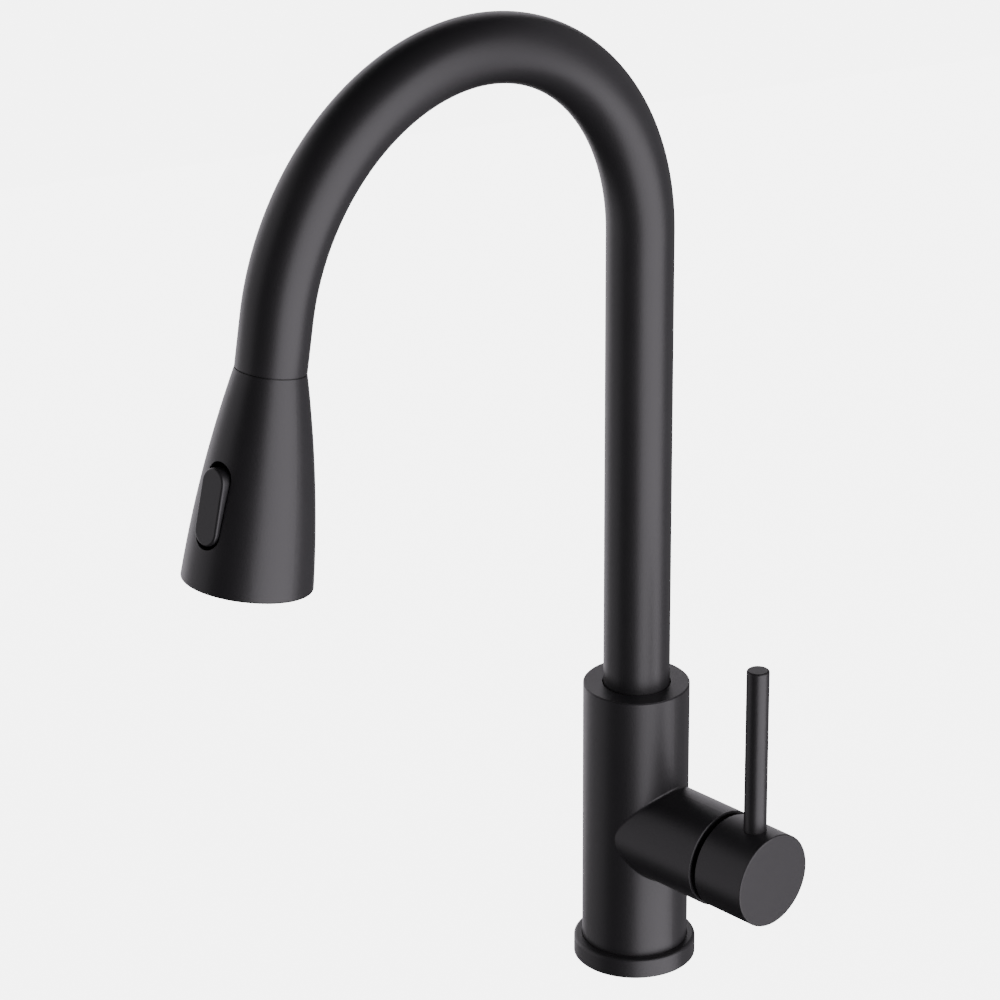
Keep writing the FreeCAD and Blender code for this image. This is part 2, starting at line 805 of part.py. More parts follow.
def make_cartridge():
    """Everything is drawn along its own Z axis, which the placement lays along the branch."""
    seat = d.seat_x
    step = seat + d.base_flange
    base_end = seat + d.base_thickness
    fixed_end = base_end + d.disc_thickness
    moving_start = fixed_end + d.shaft_gap
    moving_end = moving_start + d.disc_thickness
    carrier_end = moving_end + d.carrier_thickness
    plate_start = carrier_end + d.seat_gap
    plate_end = plate_start + d.guide_plate
    housing_front = step + d.housing_length
    outer = d.branch_bore - d.seat_gap
    inner = d.housing_bore

    base = new_body("cartridge_base")
    revolve(base, [(0, seat), (outer, seat), (outer, step), (inner - d.seat_gap, step),
                   (inner - d.seat_gap, base_end), (0, base_end)])
    disc_holes(base, seat, d.base_thickness, d.cartridge_hole)
    disc_holes(base, seat, d.seal_depth, d.seal_radius)
    keep(base, ALONG_X)

    seals = []
    for y, up in port_places():
        rim = cylinder("seal_rim", d.seal_radius, d.seal_depth, ALONG_X.shifted(-up, y, seat))
        bore = cylinder("seal_bore", d.cartridge_hole, d.seal_depth, ALONG_X.shifted(-up, y, seat))
        seals.append(combine("cut", "cartridge_seal", rim, [bore]))
    keep(group("cartridge_seals", seals))

    fixed = ring("fixed_disc", sized(0), inner - d.seat_gap, base_end, fixed_end)
    disc_holes(fixed, base_end, d.disc_thickness, d.cartridge_hole)
    keep(fixed, ALONG_X)

    travel = d.stem_arm * sin(d.stem_lean)
    slide = ALONG_X.shifted(travel, 0, 0)
    moving = turned("moving_disc", [(0, moving_start), (d.moving_disc_radius, moving_start),
                                    (d.moving_disc_radius, moving_end), (0, moving_end)])
    mixing = new_sketch(moving, "XY_Plane", (0, 0, moving_start))
    draw_slot(mixing, d.mixing_slot_radius, d.mixing_slot_radius + d.mixing_slot_half_run,
              d.mixing_slot_drop, 0)
    extrude(moving, mixing, d.mixing_slot_depth, cut=True, reverse=True)
    keep(moving, slide)

    carrier = turned("disc_carrier", [(d.stem_ball_radius + d.shaft_gap, moving_end),
                                      (d.carrier_radius, moving_end), (d.carrier_radius, carrier_end),
                                      (d.stem_ball_radius + d.shaft_gap, carrier_end)])
    for side in (1, -1):
        flat = new_sketch(carrier, "XY_Plane", (0, 0, moving_end))
        near, far = sorted((side * d.carrier_flat, side * d.carrier_radius * 1.1), key=lambda n: n.value)
        draw_box(flat, -d.carrier_radius, d.carrier_radius, near, far)
        extrude(carrier, flat, d.carrier_thickness, cut=True, reverse=True)
    keep(carrier, slide)

    make_stem_guide(moving_end, plate_start, plate_end)

    shaft = d.neck_radius + d.shaft_gap
    chamber_end = plate_end + d.seat_gap
    keep(turned("cartridge_housing", [
        (inner, step), (outer, step), (outer, housing_front), (shaft, housing_front),
        (shaft, chamber_end), (inner, chamber_end)]), ALONG_X)
    make_branch_closure(housing_front)


def port_places():
    """Across and up: the two inlets and the outlet of the cartridge, seen from the branch's end."""
    return ((d.inlet_hole_y, d.inlet_hole_z), (-d.inlet_hole_y, d.inlet_hole_z),
            (sized(0), -d.outlet_hole_z))


def disc_holes(body, start, depth, radius):
    """Cuts the three ports into a round piece of the cartridge, from its rear face inwards."""
    for y, up in port_places():
        hole = new_sketch(body, "XY_Plane", (0, 0, start))
        draw_circle(hole, -up, y, radius)
        extrude(body, hole, depth, cut=True, reverse=True)


def make_stem_guide(lug_start, plate_start, plate_end):
    """The turning guide: a slotted neck for the stem, a plate, and two lugs beside the carrier."""
    guide = new_body("stem_guide")
    rim = d.housing_bore - d.seat_gap
    lug_low = lug_start + d.free_gap
    revolve(guide, [(0, lug_low), (rim, lug_low), (rim, plate_end), (d.neck_radius, plate_end),
                    (d.neck_radius, d.neck_end), (0, d.neck_end)])
    between = new_sketch(guide, "XY_Plane", (0, 0, lug_low))
    half = d.carrier_flat + d.seat_gap
    draw_box(between, -d.housing_bore, d.housing_bore, -half, half)
    extrude(guide, between, plate_start - lug_low, cut=True, reverse=True)
    slot = new_sketch(guide, "XY_Plane", (0, 0, plate_start))
    draw_box(slot, -d.neck_slot_height / 2, d.neck_slot_height / 2,
             -d.neck_slot_width / 2, d.neck_slot_width / 2)
    extrude(guide, slot, d.neck_end - plate_start, cut=True, reverse=True)
    pin = new_sketch(guide, "XZ_Plane")
    draw_circle(pin, 0, d.pivot_x, d.pivot_pin_radius)
    extrude(guide, pin, d.neck_radius * 2, cut=True, both=True)
    keep(guide, ALONG_X)
    across = Place(d.pivot_x, -d.pivot_pin_half, d.branch_height, (1, 0, 0), -90)
    keep(cylinder("stem_pivot_pin", d.pivot_pin_radius, d.pivot_pin_half * 2, across))


def make_branch_closure(housing_front):
    """The threaded nut that holds the cartridge down and the domed bonnet over it."""
    outside = d.mouth_radius - d.seat_gap
    nut_end = housing_front + d.nut_run
    keep(turned("cartridge_nut", [
        (d.nut_inside, housing_front), (outside, housing_front), (outside, nut_end),
        (d.nut_inside + d.nut_run / 3, nut_end)]), ALONG_X)
    crown = d.branch_end + d.bonnet_rise
    wall = d.bonnet_wall
    keep(turned("bonnet", [
        (outside, nut_end + d.seat_gap),
        (outside, d.branch_end),
        (d.bonnet_opening, crown, d.bonnet_curve),
        (d.bonnet_opening, crown - wall),
        (outside - wall, d.branch_end - wall, wall - d.bonnet_curve),
        (outside - wall, nut_end + d.seat_gap)]), ALONG_X)


# ---------------------------------------------------------------- stem, knob and lever

STEM = Place(d.pivot_x, 0, d.branch_height, (0, 1, 0), 90 - d.stem_lean)


def make_stem():
    """A round stem with a hub for the pivot pin and a ball that drives the disc carrier."""
    stem = new_body("stem")
    ball = d.stem_ball_radius
    arm = d.stem_arm_radius
    neck = root(ball * ball - arm * arm)
    revolve(stem, [
        (0, -d.stem_arm - ball),
        (ball, -d.stem_arm, ball),
        (arm, -d.stem_arm + neck, ball),
        (arm, -d.stem_hub_radius + arm),
        (d.stem_radius, -arm / 2),
        (d.stem_radius, d.stem_reach - d.knob_edge),
        (d.stem_radius - d.knob_edge, d.stem_reach),
        (0, d.stem_reach)])
    hub = new_sketch(stem, "XZ_Plane")
    draw_circle(hub, 0, 0, d.stem_hub_radius)
    extrude(stem, hub, d.neck_slot_width - 2 * d.seat_gap, both=True)
    pin = new_sketch(stem, "XZ_Plane")
    draw_circle(pin, 0, 0, d.pivot_pin_radius + d.shaft_gap)
    extrude(stem, pin, d.neck_slot_width, cut=True, both=True)
    keep(stem, STEM)


def make_knob():
    """A cast cup with a leaning boss for the stem, a grub screw below and the lever's hole above."""
    start = d.branch_end + d.knob_gap
    end = start + d.knob_length
    inside = d.knob_radius - d.knob_wall
    deep = start + d.knob_cavity
    edge = d.knob_edge
    cup = new_body("knob_cup")
    revolve(cup, [
        (inside, start), (d.knob_radius - edge / 2, start), (d.knob_radius, start + edge / 2),
        (d.knob_radius, end - edge), (d.knob_radius - edge, end, edge), (0, end), (0, deep),
        (inside, deep)])
    put(cup, ALONG_X)
    grub_x = d.pivot_x + d.grub_along_stem * cos(d.stem_lean)
    grub_top = d.branch_height + d.grub_along_stem * sin(d.stem_lean)
    low = d.branch_height - d.knob_radius
    boss = cylinder("stem_boss", d.boss_radius, d.stem_reach - d.boss_start, STEM.shifted(0, 0, d.boss_start))
    blank = combine("fuse", "knob_blank", cup, [boss])
    seat = d.branch_height + d.lever_seat_height
    socket_length = d.stem_reach - d.boss_start + d.seat_gap + 1
    socket = cylinder("stem_socket", d.stem_radius + d.shaft_gap, socket_length,
                      STEM.shifted(0, 0, d.boss_start - 1))
    grub_hole = cylinder("grub_hole", d.grub_radius, grub_top - low + 1, Place(grub_x, 0, low - 1))
    tail_hole = cylinder("lever_tail_hole", d.lever_tail_radius + d.shaft_gap,
                         d.lever_tail_length + d.knob_radius,
                         Place(d.lever_x, 0, seat - d.lever_tail_length))
    seat_hole = cylinder("lever_seat_hole", d.lever_radius + d.seat_gap, d.knob_radius,
                         Place(d.lever_x, 0, seat))
    keep(combine("cut", "lever_knob", blank, [socket, grub_hole, tail_hole, seat_hole]))

    tip = d.grub_radius / 2
    grub_end = grub_top - d.stem_radius / cos(d.stem_lean) - tip * tan(d.stem_lean)
    screw = turned("knob_grub_screw", [
        (0, -d.grub_length), (d.grub_radius - d.shaft_gap, -d.grub_length),
        (d.grub_radius - d.shaft_gap, -tip - d.shaft_gap), (tip, -d.shaft_gap),
        (0, -d.shaft_gap)])
    sink_socket(screw, -d.grub_length, d.grub_socket, d.grub_length / 2, upward=True)
    keep(screw, Place(grub_x, 0, grub_end))
    keep(turned("lever_rod", [
        (0, seat - d.lever_tail_length + d.seat_gap),
        (d.lever_tail_radius, seat - d.lever_tail_length + d.seat_gap),
        (d.lever_tail_radius, seat), (d.lever_radius, seat),
        (d.lever_radius, d.lever_top - d.lever_top_round),
        (d.lever_radius - d.lever_top_round, d.lever_top, d.lever_top_round),
        (0, d.lever_top)]), Place(d.lever_x, 0, 0))


# ---------------------------------------------------------------- spout

def seam_place():
    """Where the spout's tube ends: +Z of this frame leaves the outlet, +Y faces the user."""
    tilt = d.outlet_tilt
    y = -(d.arch_radius * (1 + cos(tilt)) + d.outlet_run * sin(tilt))
    z = d.column_top + d.arch_radius * sin(tilt) - d.outlet_run * cos(tilt)
    return Place(0, y, z, (1, 0, 0), 180 - tilt)


HEAD = seam_place()


def gooseneck_path(body, bottom, short):
    """The centre line from a height in the column to a distance short of the tube's end."""
    tilt = d.outlet_tilt
    spine = new_sketch(body, "YZ_Plane")
    y = -d.arch_radius * (1 + cos(tilt))
    z = d.column_top + d.arch_radius * sin(tilt)
    corners = [(0, bottom), (0, d.column_top), (y, z, d.arch_radius)]
    run = d.outlet_run - short
    corners.append((y - run * sin(tilt), z - run * cos(tilt)))
    return draw(spine, corners, closed=False)


def sweep(body, spine, bottom, radius, cut=False):
    """Sweeps a circle at the foot of the column along the centre line."""
    section = new_sketch(body, "XY_Plane", (0, 0, bottom))
    draw_circle(section, 0, 0, radius)
    kind = "PartDesign::SubtractivePipe" if cut else "PartDesign::AdditivePipe"
    pipe = body.newObject(kind, body.Name + "_pipe")
    pipe.Profile = section
    pipe.Spine = (spine, [])
    return settle(body, pipe, cut)


def make_spout():
    tube = new_body("spout_tube")
    low_end = tube_bottom()
    sweep(tube, gooseneck_path(tube, low_end, sized(0)), low_end, d.tube_radius)
    bore_radius = d.tube_radius - d.tube_wall
    sweep(tube, gooseneck_path(tube, low_end, sized(0)), low_end, bore_radius, cut=True)
    keep(tube)

    roof = cavity_top()
    foot_low = roof + d.thrust_thickness + d.shaft_gap
    outer = d.swivel_bore - d.seat_gap
    keep(ring("thrust_washer", d.foot_bore, outer, roof, roof + d.thrust_thickness))
    glide_floor = outer - d.low_glide_depth
    glide_low = roof + d.low_glide_up
    glide_top = glide_low + d.low_glide_height
    keeper_floor = outer - d.keeper_groove_depth
    keeper_low = keeper_height() - d.keeper_groove_height / 2
    keeper_top = keeper_height() + d.keeper_groove_height / 2
    spigot = bore_radius - d.shaft_gap
    spigot_top = low_end + d.foot_spigot
    keep(turned("spout_foot", [
        (d.foot_bore, foot_low), (outer, foot_low),
        (outer, glide_low), (glide_floor, glide_low),
        (glide_floor, glide_top), (outer, glide_top),
        (outer, keeper_low), (keeper_floor, keeper_low),
        (keeper_floor, keeper_top), (outer, keeper_top),
        (outer, low_end), (spigot, low_end),
        (spigot, spigot_top), (d.foot_bore, spigot_top)]))
    keep(ring("lower_glide_ring", glide_floor + d.shaft_gap, d.swivel_bore - d.shaft_gap,
              glide_low + d.shaft_gap, glide_top - d.shaft_gap))
    keep(ring("upper_glide_ring", d.tube_radius + d.shaft_gap,
              d.swivel_bore + d.high_glide_depth - d.shaft_gap, high_glide_low() + d.shaft_gap,
              high_glide_low() + d.high_glide_height - d.shaft_gap))
    bush_low = -d.free_gap
    keep(turned("outlet_bush", [
        (d.bush_bore, -d.bush_length), (spigot, -d.bush_length), (spigot, bush_low),
        (d.bush_bore + d.bonnet_wall, bush_low), (d.bush_bore, bush_low - d.bonnet_wall)]), HEAD)


# ---------------------------------------------------------------- hose

def make_hose():
    """The hose is held by the object all the way: up through the body, the column and the arch."""
    hose = new_body("spray_hose")
    lean = (d.ferrule_top + d.hose_end_gap - d.outlet_run) / d.arch_radius * (180 / math.pi)
    angle = d.outlet_tilt + lean
    spine = new_sketch(hose, "YZ_Plane")
    y = -d.arch_radius * (1 + cos(angle))
    z = d.column_top + d.arch_radius * sin(angle)
    draw(spine, [(0, d.hose_split), (0, d.column_top), (y, z, d.arch_radius)], closed=False)
    sweep(hose, spine, d.hose_split, d.hose_radius)
    keep(hose)
    corners = [(-d.hose_entry_x, -d.shank_below), (-d.hose_entry_x, d.hose_entry_height),
               (sized(0), d.body_height), (sized(0), d.hose_split)]
    riser = doc.addObject("Part::Feature", "hose_riser")
    riser.Shape = bent_tube([V(sized(x).value, 0, sized(z).value) for x, z in corners], d.hose_radius.value)
    keep(riser)


def bent_tube(points, radius):
    """A round tube of straight runs joined by tangent arcs as large as the runs allow."""
    edges = []
    here = points[0]
    for before, corner, after in zip(points, points[1:], points[2:]):
        back = (before - corner).normalize()
        ahead = (after - corner).normalize()
        turn = math.pi - back.getAngle(ahead)
        shorter = min((before - corner).Length, (after - corner).Length)
        reach = 0.45 * shorter
        bend = reach / math.tan(turn / 2)
        print("hose bend radius %.0f" % bend)
        start = corner + back * reach
        end = corner + ahead * reach
        towards = (back + ahead).normalize()
        centre = corner + towards * (bend / math.cos(turn / 2))
        crown = centre - towards * bend
        edges.append(Part.makeLine(here, start))
        edges.append(Part.Arc(start, crown, end).toShape())
        here = end
    edges.append(Part.makeLine(here, points[-1]))
    path = Part.Wire(edges)
    section = Part.Wire(Part.makeCircle(radius, points[0], points[1] - points[0]))
    tube = path.makePipeShell([section], True, False)
    expected = math.pi * radius ** 2 * path.Length
    if abs(tube.Volume - expected) > 0.01 * expected:
        raise RuntimeError("hose volume is wrong")
    return tube


# ---------------------------------------------------------------- dock and hose end

def make_dock():
    top = -d.ferrule_top
    neck_start = top + d.ferrule_length
    roof = -d.hose_nut_top
    chamber = roof + d.hose_nut_roof
    flange_low = chamber + 2 * d.seat_gap
    flange_end = flange_low + d.ferrule_flange_thickness
    keep(turned("hose_ferrule", [
        (d.ferrule_bore, top), (d.ferrule_radius - d.knob_edge, top), (d.ferrule_radius, top + d.knob_edge),
        (d.ferrule_radius, neck_start), (d.ferrule_neck_radius, neck_start),
        (d.ferrule_neck_radius, flange_low), (d.ferrule_flange_radius, flange_low),
        (d.ferrule_flange_radius, flange_end), (d.ferrule_bore, flange_end)]), HEAD)
    nut_end = -d.hose_nut_bottom
    thread = d.nipple_radius + d.shaft_gap
    keep(turned("hose_nut", [
        (d.ferrule_neck_radius + d.shaft_gap, roof), (d.hose_nut_radius - d.hose_nut_roof, roof),
        (d.hose_nut_radius, roof + d.hose_nut_roof), (d.hose_nut_radius, nut_end), (thread, nut_end),
        (thread, chamber), (d.ferrule_neck_radius + d.shaft_gap, chamber)]), HEAD)
    washer_top = flange_end + d.seat_gap
    keep(ring("hose_washer", d.ferrule_bore, d.nipple_radius - d.seat_gap,
              washer_top, -d.nipple_height - d.shaft_gap), HEAD)
    collar_inside = d.hose_nut_radius + d.seat_gap
    floor = d.free_gap - d.collar_floor
    keep(turned("docking_collar", [
        (collar_inside, -d.collar_height), (d.collar_radius - d.knob_edge, -d.collar_height),
        (d.collar_radius, -d.collar_height + d.knob_edge), (d.collar_radius, d.free_gap),
        (thread, d.free_gap), (thread, floor), (collar_inside, floor)]), HEAD)


# ---------------------------------------------------------------- spray head

def button_places():
    """The rocker's frames on its pin: in the middle of its stroke and at rest."""
    pin = HEAD.shifted(0, d.button_pin_y, d.button_at)
    middle = pin.turned_more(-d.button_slope)
    rest = middle.turned_more(d.button_rock)
    return pin, middle, rest


PIN, BUTTON_MIDDLE, BUTTON_REST = button_places()


def along_front(body, y):
    """A sketch across the head, y in front of the axis of its frame."""
    return new_sketch(body, "XZ_Plane", (0, 0, -y))


def make_shell():
    """A flared shell of even wall, closed at the top by a web, with a slot for the button."""
    top = d.free_gap
    base = d.head_length
    wall = d.head_wall
    edge = d.head_base_round
    blank = new_body("shell_blank")
    revolve(blank, [
        (d.head_top_radius - wall, top, wall - d.head_curve),
        (d.head_top_radius, top),
        (d.head_base_radius, base - edge, d.head_curve),
        (d.head_base_radius - edge, base, edge),
        (d.head_base_radius - wall, base)])
    hole = d.nipple_radius + d.seat_gap
    revolve(blank, [(hole, top), (d.head_top_radius - wall / 2, top),
                    (d.head_top_radius - wall / 2, top + d.head_web), (hole, top + d.head_web)])
    put(blank, HEAD)
    slot = new_body("button_slot")
    outline = along_front(slot, d.button_inner)
    draw_slot(outline, d.button_half_width + d.slot_side_gap, d.button_half_length + d.slot_end_gap)
    extrude(slot, outline, d.button_face, reverse=True)
    put(slot, BUTTON_MIDDLE)
    keep(combine("cut", "head_shell", blank, [slot]))


def make_core():
    """The core carries the water from the nipple past the spool to the spray face."""
    core = new_body("spray_core")
    shoulder = d.free_gap + d.head_web
    shoulder_end = shoulder + d.core_shoulder
    flange_end = d.core_flange_at + d.core_flange
    thread = d.aerator_radius + d.shaft_gap
    thread_start = flange_end - d.aerator_thread
    spool = d.spool_radius + d.shaft_gap
    gallery = flange_end - d.gallery_depth
    revolve(core, [
        (d.core_inlet_bore, -d.nipple_height), (d.nipple_radius, -d.nipple_height),
        (d.nipple_radius, shoulder), (d.core_shoulder_radius, shoulder),
        (d.core_shoulder_radius, shoulder_end), (d.core_radius, shoulder_end + d.core_shoulder),
        (d.core_radius, d.core_cone_top), (d.core_flange_radius, d.core_flange_at),
        (d.core_flange_radius, flange_end), (d.gallery_outside, flange_end),
        (d.gallery_outside, gallery), (d.gallery_inside, gallery), (d.gallery_inside, flange_end),
        (thread, flange_end), (thread, thread_start), (spool, thread_start),
        (spool, d.spool_bore_top), (d.core_throat, d.spool_bore_top),
        (d.core_throat, d.core_inlet_depth), (d.core_inlet_bore, d.core_inlet_depth)])
    half = d.frame_length / 2
    block = along_front(core, d.core_pad_back)
    draw_box(block, -d.core_pad_width / 2, d.core_pad_width / 2, d.button_at - half, d.button_at + half)
    extrude(core, block, d.core_pad_reach - d.core_pad_back, reverse=True)
    cut_window(core, d.core_pad_reach + 1)
    keep(core, HEAD)


def cut_window(body, depth):
    """The opening through which the button's tongue reaches the spool."""
    window = new_sketch(body, "XZ_Plane")
    draw_box(window, -d.window_width / 2, d.window_width / 2,
             d.button_at - d.window_length / 2, d.button_at + d.window_length / 2)
    extrude(body, window, depth, cut=True)


def make_button_frame():
    """A plate clipped on the core, with two ears for the rocker's pin."""
    frame = new_body("button_frame")
    back = d.core_pad_reach + d.seat_gap
    front = back + d.frame_thickness
    half = d.frame_length / 2
    plate = along_front(frame, back)
    draw_box(plate, -d.frame_half_width, d.frame_half_width, d.button_at - half, d.button_at + half)
    extrude(frame, plate, d.frame_thickness, reverse=True)
    cut_window(frame, front + 1)
    ear_end = d.button_pin_y + d.ear_reach
    for inner in (d.frame_half_width - d.ear_thickness, -d.frame_half_width):
        ear = new_sketch(frame, "YZ_Plane", (0, 0, inner))
        draw_box(ear, front - d.seat_gap, ear_end, d.button_at - d.ear_length / 2,
                 d.button_at + d.ear_length / 2)
        extrude(frame, ear, d.ear_thickness)
    pin = new_sketch(frame, "YZ_Plane")
    draw_circle(pin, d.button_pin_y, d.button_at, d.button_pin_radius)
    extrude(frame, pin, d.frame_half_width * 3, cut=True, both=True)
    keep(frame, HEAD)

    rod = new_body("rocker_pin")
    section = new_sketch(rod, "YZ_Plane")
    draw_circle(section, d.button_pin_y, d.button_at, d.button_pin_radius)
    extrude(rod, section, (d.frame_half_width - d.seat_gap) * 2, both=True)
    keep(rod, HEAD)


def make_button():
    """A rocker: a rounded bar on a hub, with a tongue that moves the spool."""
    button = new_body("spray_button")
    bar = along_front(button, d.button_inner)
    draw_slot(bar, d.button_half_width, d.button_half_length)
    extrude(button, bar, d.button_face - d.button_inner, reverse=True)
    face = d.button_face.value
    rim = ["Edge%d" % (index + 1) for index, edge in enumerate(button.Shape.Edges)
           if all(abs(vertex.Y - face) < 1e-4 for vertex in edge.Vertexes)]
    pad = button.Tip
    rounding = button.newObject("PartDesign::Fillet", "button_rounding")
    rounding.Base = (pad, rim)
    rounding.Radius = d.button_edge.value
    bind(rounding, "Radius", d.button_edge)
    doc.recompute()
    hub = new_sketch(button, "YZ_Plane")
    draw_circle(hub, 0, 0, d.button_hub_radius)
    extrude(button, hub, d.button_half_width * 2, both=True)
    draw_tongue(button)
    pin = new_sketch(button, "YZ_Plane")
    draw_circle(pin, 0, 0, d.button_pin_radius + d.shaft_gap)
    extrude(button, pin, d.button_half_width * 3, cut=True, both=True)
    keep(button, BUTTON_REST)


def draw_tongue(button):
    """A flat arm with a round end, square to the spool when the rocker is at mid stroke."""
    c = cos(d.button_slope)
    s = sin(d.button_slope)
    half = d.tongue_tip_radius
    reach = d.tongue_reach
    arm = new_sketch(button, "YZ_Plane")
    draw(arm, [
        (-(s * half), c * half),
        (-(c * reach) - s * half, c * half - s * reach),
        (-(c * (reach + half)), -(s * (reach + half)), half),
        (s * half - c * reach, -(c * half) - s * reach, half),
        (s * half, -(c * half))])
    extrude(button, arm, d.tongue_width, both=True)


def make_spool():
    """The diverter spool, its groove round the button's tongue and a seal near each end."""
    middle = d.button_at - d.tongue_reach * sin(d.button_rock)
    low = middle - d.spool_length / 2
    high = middle + d.spool_length / 2
    groove = d.tongue_tip_radius + d.seat_gap
    floor = d.spool_radius - d.spool_seal_depth
    first = low + d.spool_seal_from_end
    last = high - d.spool_seal_from_end
    width = d.spool_seal_width
    keep(turned("diverter_spool", [
        (0, low), (d.spool_radius, low),
        (d.spool_radius, first), (floor, first), (floor, first + width), (d.spool_radius, first + width),
        (d.spool_radius, middle - groove), (d.spool_core, middle - groove),
        (d.spool_core, middle + groove), (d.spool_radius, middle + groove),
        (d.spool_radius, last - width), (floor, last - width), (floor, last), (d.spool_radius, last),
        (d.spool_radius, high), (0, high)]), HEAD)
    seals = []
    for start in (first, last - width):
        seal = ring("spool_seal", floor + d.shaft_gap, d.spool_radius + d.shaft_gap / 2,
                    start + d.shaft_gap, start + width - d.shaft_gap)
        seals.append(put(seal, HEAD))
    keep(group("spool_seals", seals))


def nozzle_rings():
    return ((d.outer_ring_radius, d.outer_ring_count), (d.inner_ring_radius, d.inner_ring_count))


def make_spray_face():
    """Silicone mat with its nubs, the face plate they pass through, and the aerator."""
    mat_top = d.core_flange_at + d.core_flange + d.seat_gap
    mat_end = mat_top + d.mat_thickness
    face_top = mat_end + d.seat_gap
    face_end = face_top + d.face_thickness
    hole = d.aerator_radius + d.free_gap
    mat = ring("nozzle_mat", hole, d.mat_radius, mat_top, mat_end)
    for radius, count in nozzle_rings():
        nub = new_sketch(mat, "XY_Plane", (0, 0, mat_end))
        draw_circle(nub, radius, 0, d.nub_radius)
        pad = extrude(mat, nub, face_end + d.nub_proud - mat_end)
        repeat(mat, pad, count)
    keep(mat, HEAD)
    face = ring("spray_face", hole, d.face_radius, face_top, face_end)
    for radius, count in nozzle_rings():
        opening = new_sketch(face, "XY_Plane", (0, 0, face_top))
        draw_circle(opening, radius, 0, d.nub_radius + d.seat_gap)
        pocket = extrude(face, opening, d.face_thickness, cut=True, reverse=True)
        repeat(face, pocket, count)
    keep(face, HEAD)

    thread_start = d.core_flange_at + d.core_flange - d.aerator_thread + d.seat_gap
    flange = face_end + d.shaft_gap
    flange_end = flange + d.aerator_flange
    keep(turned("aerator", [
        (d.aerator_bore - d.aerator_flange, thread_start), (d.aerator_radius, thread_start),
        (d.aerator_radius, flange), (d.aerator_flange_radius, flange),
        (d.aerator_flange_radius, flange_end - d.aerator_flange / 2),
        (d.aerator_flange_radius - d.aerator_flange / 2, flange_end), (d.aerator_bore, flange_end),
        (d.aerator_bore, thread_start + d.aerator_flange),
        (d.aerator_bore - d.aerator_flange, thread_start + d.aerator_flange)]), HEAD)
    insert_top = flange_end - d.aerator_flange - d.insert_length
    insert = turned("aerator_insert", [
        (0, insert_top), (d.aerator_bore - d.shaft_gap, insert_top),
        (d.aerator_bore - d.shaft_gap, insert_top + d.insert_length), (0, insert_top + d.insert_length)])
    for radius, count in ((d.aerator_bore * 0.36, sized(6)), (d.aerator_bore * 0.74, sized(12))):
        opening = new_sketch(insert, "XY_Plane", (0, 0, insert_top))
        draw_circle(opening, radius, 0, d.insert_hole / 2)
        pocket = extrude(insert, opening, d.insert_length, cut=True, reverse=True)
        repeat(insert, pocket, count)
    keep(insert, HEAD)


def make_inlet_parts():
    """The screen under the hose washer and the check valve below it."""
    outside = d.core_inlet_bore - d.seat_gap
    wall = d.screen_length / 4
    top = -d.nipple_height + d.seat_gap
    keep(turned("inlet_screen", [
        (outside - wall, top), (outside, top), (outside, top + wall), (wall, top + d.screen_length),
        (0, top + d.screen_length), (0, top + d.screen_length - wall)]), HEAD)
    valve_end = d.valve_top + d.valve_length
    seat = d.core_throat * 0.8
    keep(turned("check_valve", [
        (seat, d.valve_top), (outside, d.valve_top), (outside, valve_end), (seat, valve_end)]), HEAD)


# ---------------------------------------------------------------- build and export

def check(items):
    """Stops the run if any object failed or any kept shape is broken."""
    failed = [item.Name for item in doc.Objects if "Invalid" in item.State or "Error" in item.State]
    for item in items:
        if item.Shape.isNull() or not item.Shape.isValid() or not item.Shape.Solids:
            failed.append(item.Label)
    if failed:
        raise RuntimeError("failed: " + ", ".join(failed))


make_base()
make_casting()
make_keeper_screw()
make_waterway()
make_cartridge()
make_stem()
make_knob()
make_spout()
make_hose()
make_dock()
make_shell()
make_core()
make_button_frame()
make_button()
make_spool()
make_spray_face()
make_inlet_parts()

doc.recompute()
check(nodes)
os.makedirs("parts", exist_ok=True)
for node in nodes:
    node.Shape.exportStep("parts/%s.step" % node.Label)
print(len(nodes), "pieces written")
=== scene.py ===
import json
import math

import bmesh
import bpy
from mathutils import Matrix, Vector


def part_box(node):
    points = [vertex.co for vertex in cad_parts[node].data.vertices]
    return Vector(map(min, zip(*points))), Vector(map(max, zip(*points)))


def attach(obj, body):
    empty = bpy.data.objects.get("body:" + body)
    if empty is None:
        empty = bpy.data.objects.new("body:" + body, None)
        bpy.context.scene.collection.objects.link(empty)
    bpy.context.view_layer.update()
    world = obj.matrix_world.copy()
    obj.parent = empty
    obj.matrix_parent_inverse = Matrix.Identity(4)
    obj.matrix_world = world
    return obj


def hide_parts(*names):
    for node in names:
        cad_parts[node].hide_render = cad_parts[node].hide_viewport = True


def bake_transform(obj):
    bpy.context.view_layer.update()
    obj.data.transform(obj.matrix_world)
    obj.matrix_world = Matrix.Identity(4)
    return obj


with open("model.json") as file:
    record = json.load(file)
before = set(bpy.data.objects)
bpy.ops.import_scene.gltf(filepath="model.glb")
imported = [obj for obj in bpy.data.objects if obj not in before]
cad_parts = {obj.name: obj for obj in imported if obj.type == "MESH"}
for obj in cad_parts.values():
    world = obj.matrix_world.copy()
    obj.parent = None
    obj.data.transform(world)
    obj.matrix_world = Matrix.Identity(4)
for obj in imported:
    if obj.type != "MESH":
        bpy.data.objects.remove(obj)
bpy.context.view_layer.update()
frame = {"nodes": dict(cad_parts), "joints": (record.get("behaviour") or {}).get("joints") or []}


# ---- Base ring -----------------------------------------------------------------------------
# A turned zinc ring that the body stands in and that hides the edge of the hole in the worktop.
# Like every outside casting it is powder coated: an even black skin with a very fine grain and
# a gloss that wanders a little from place to place.


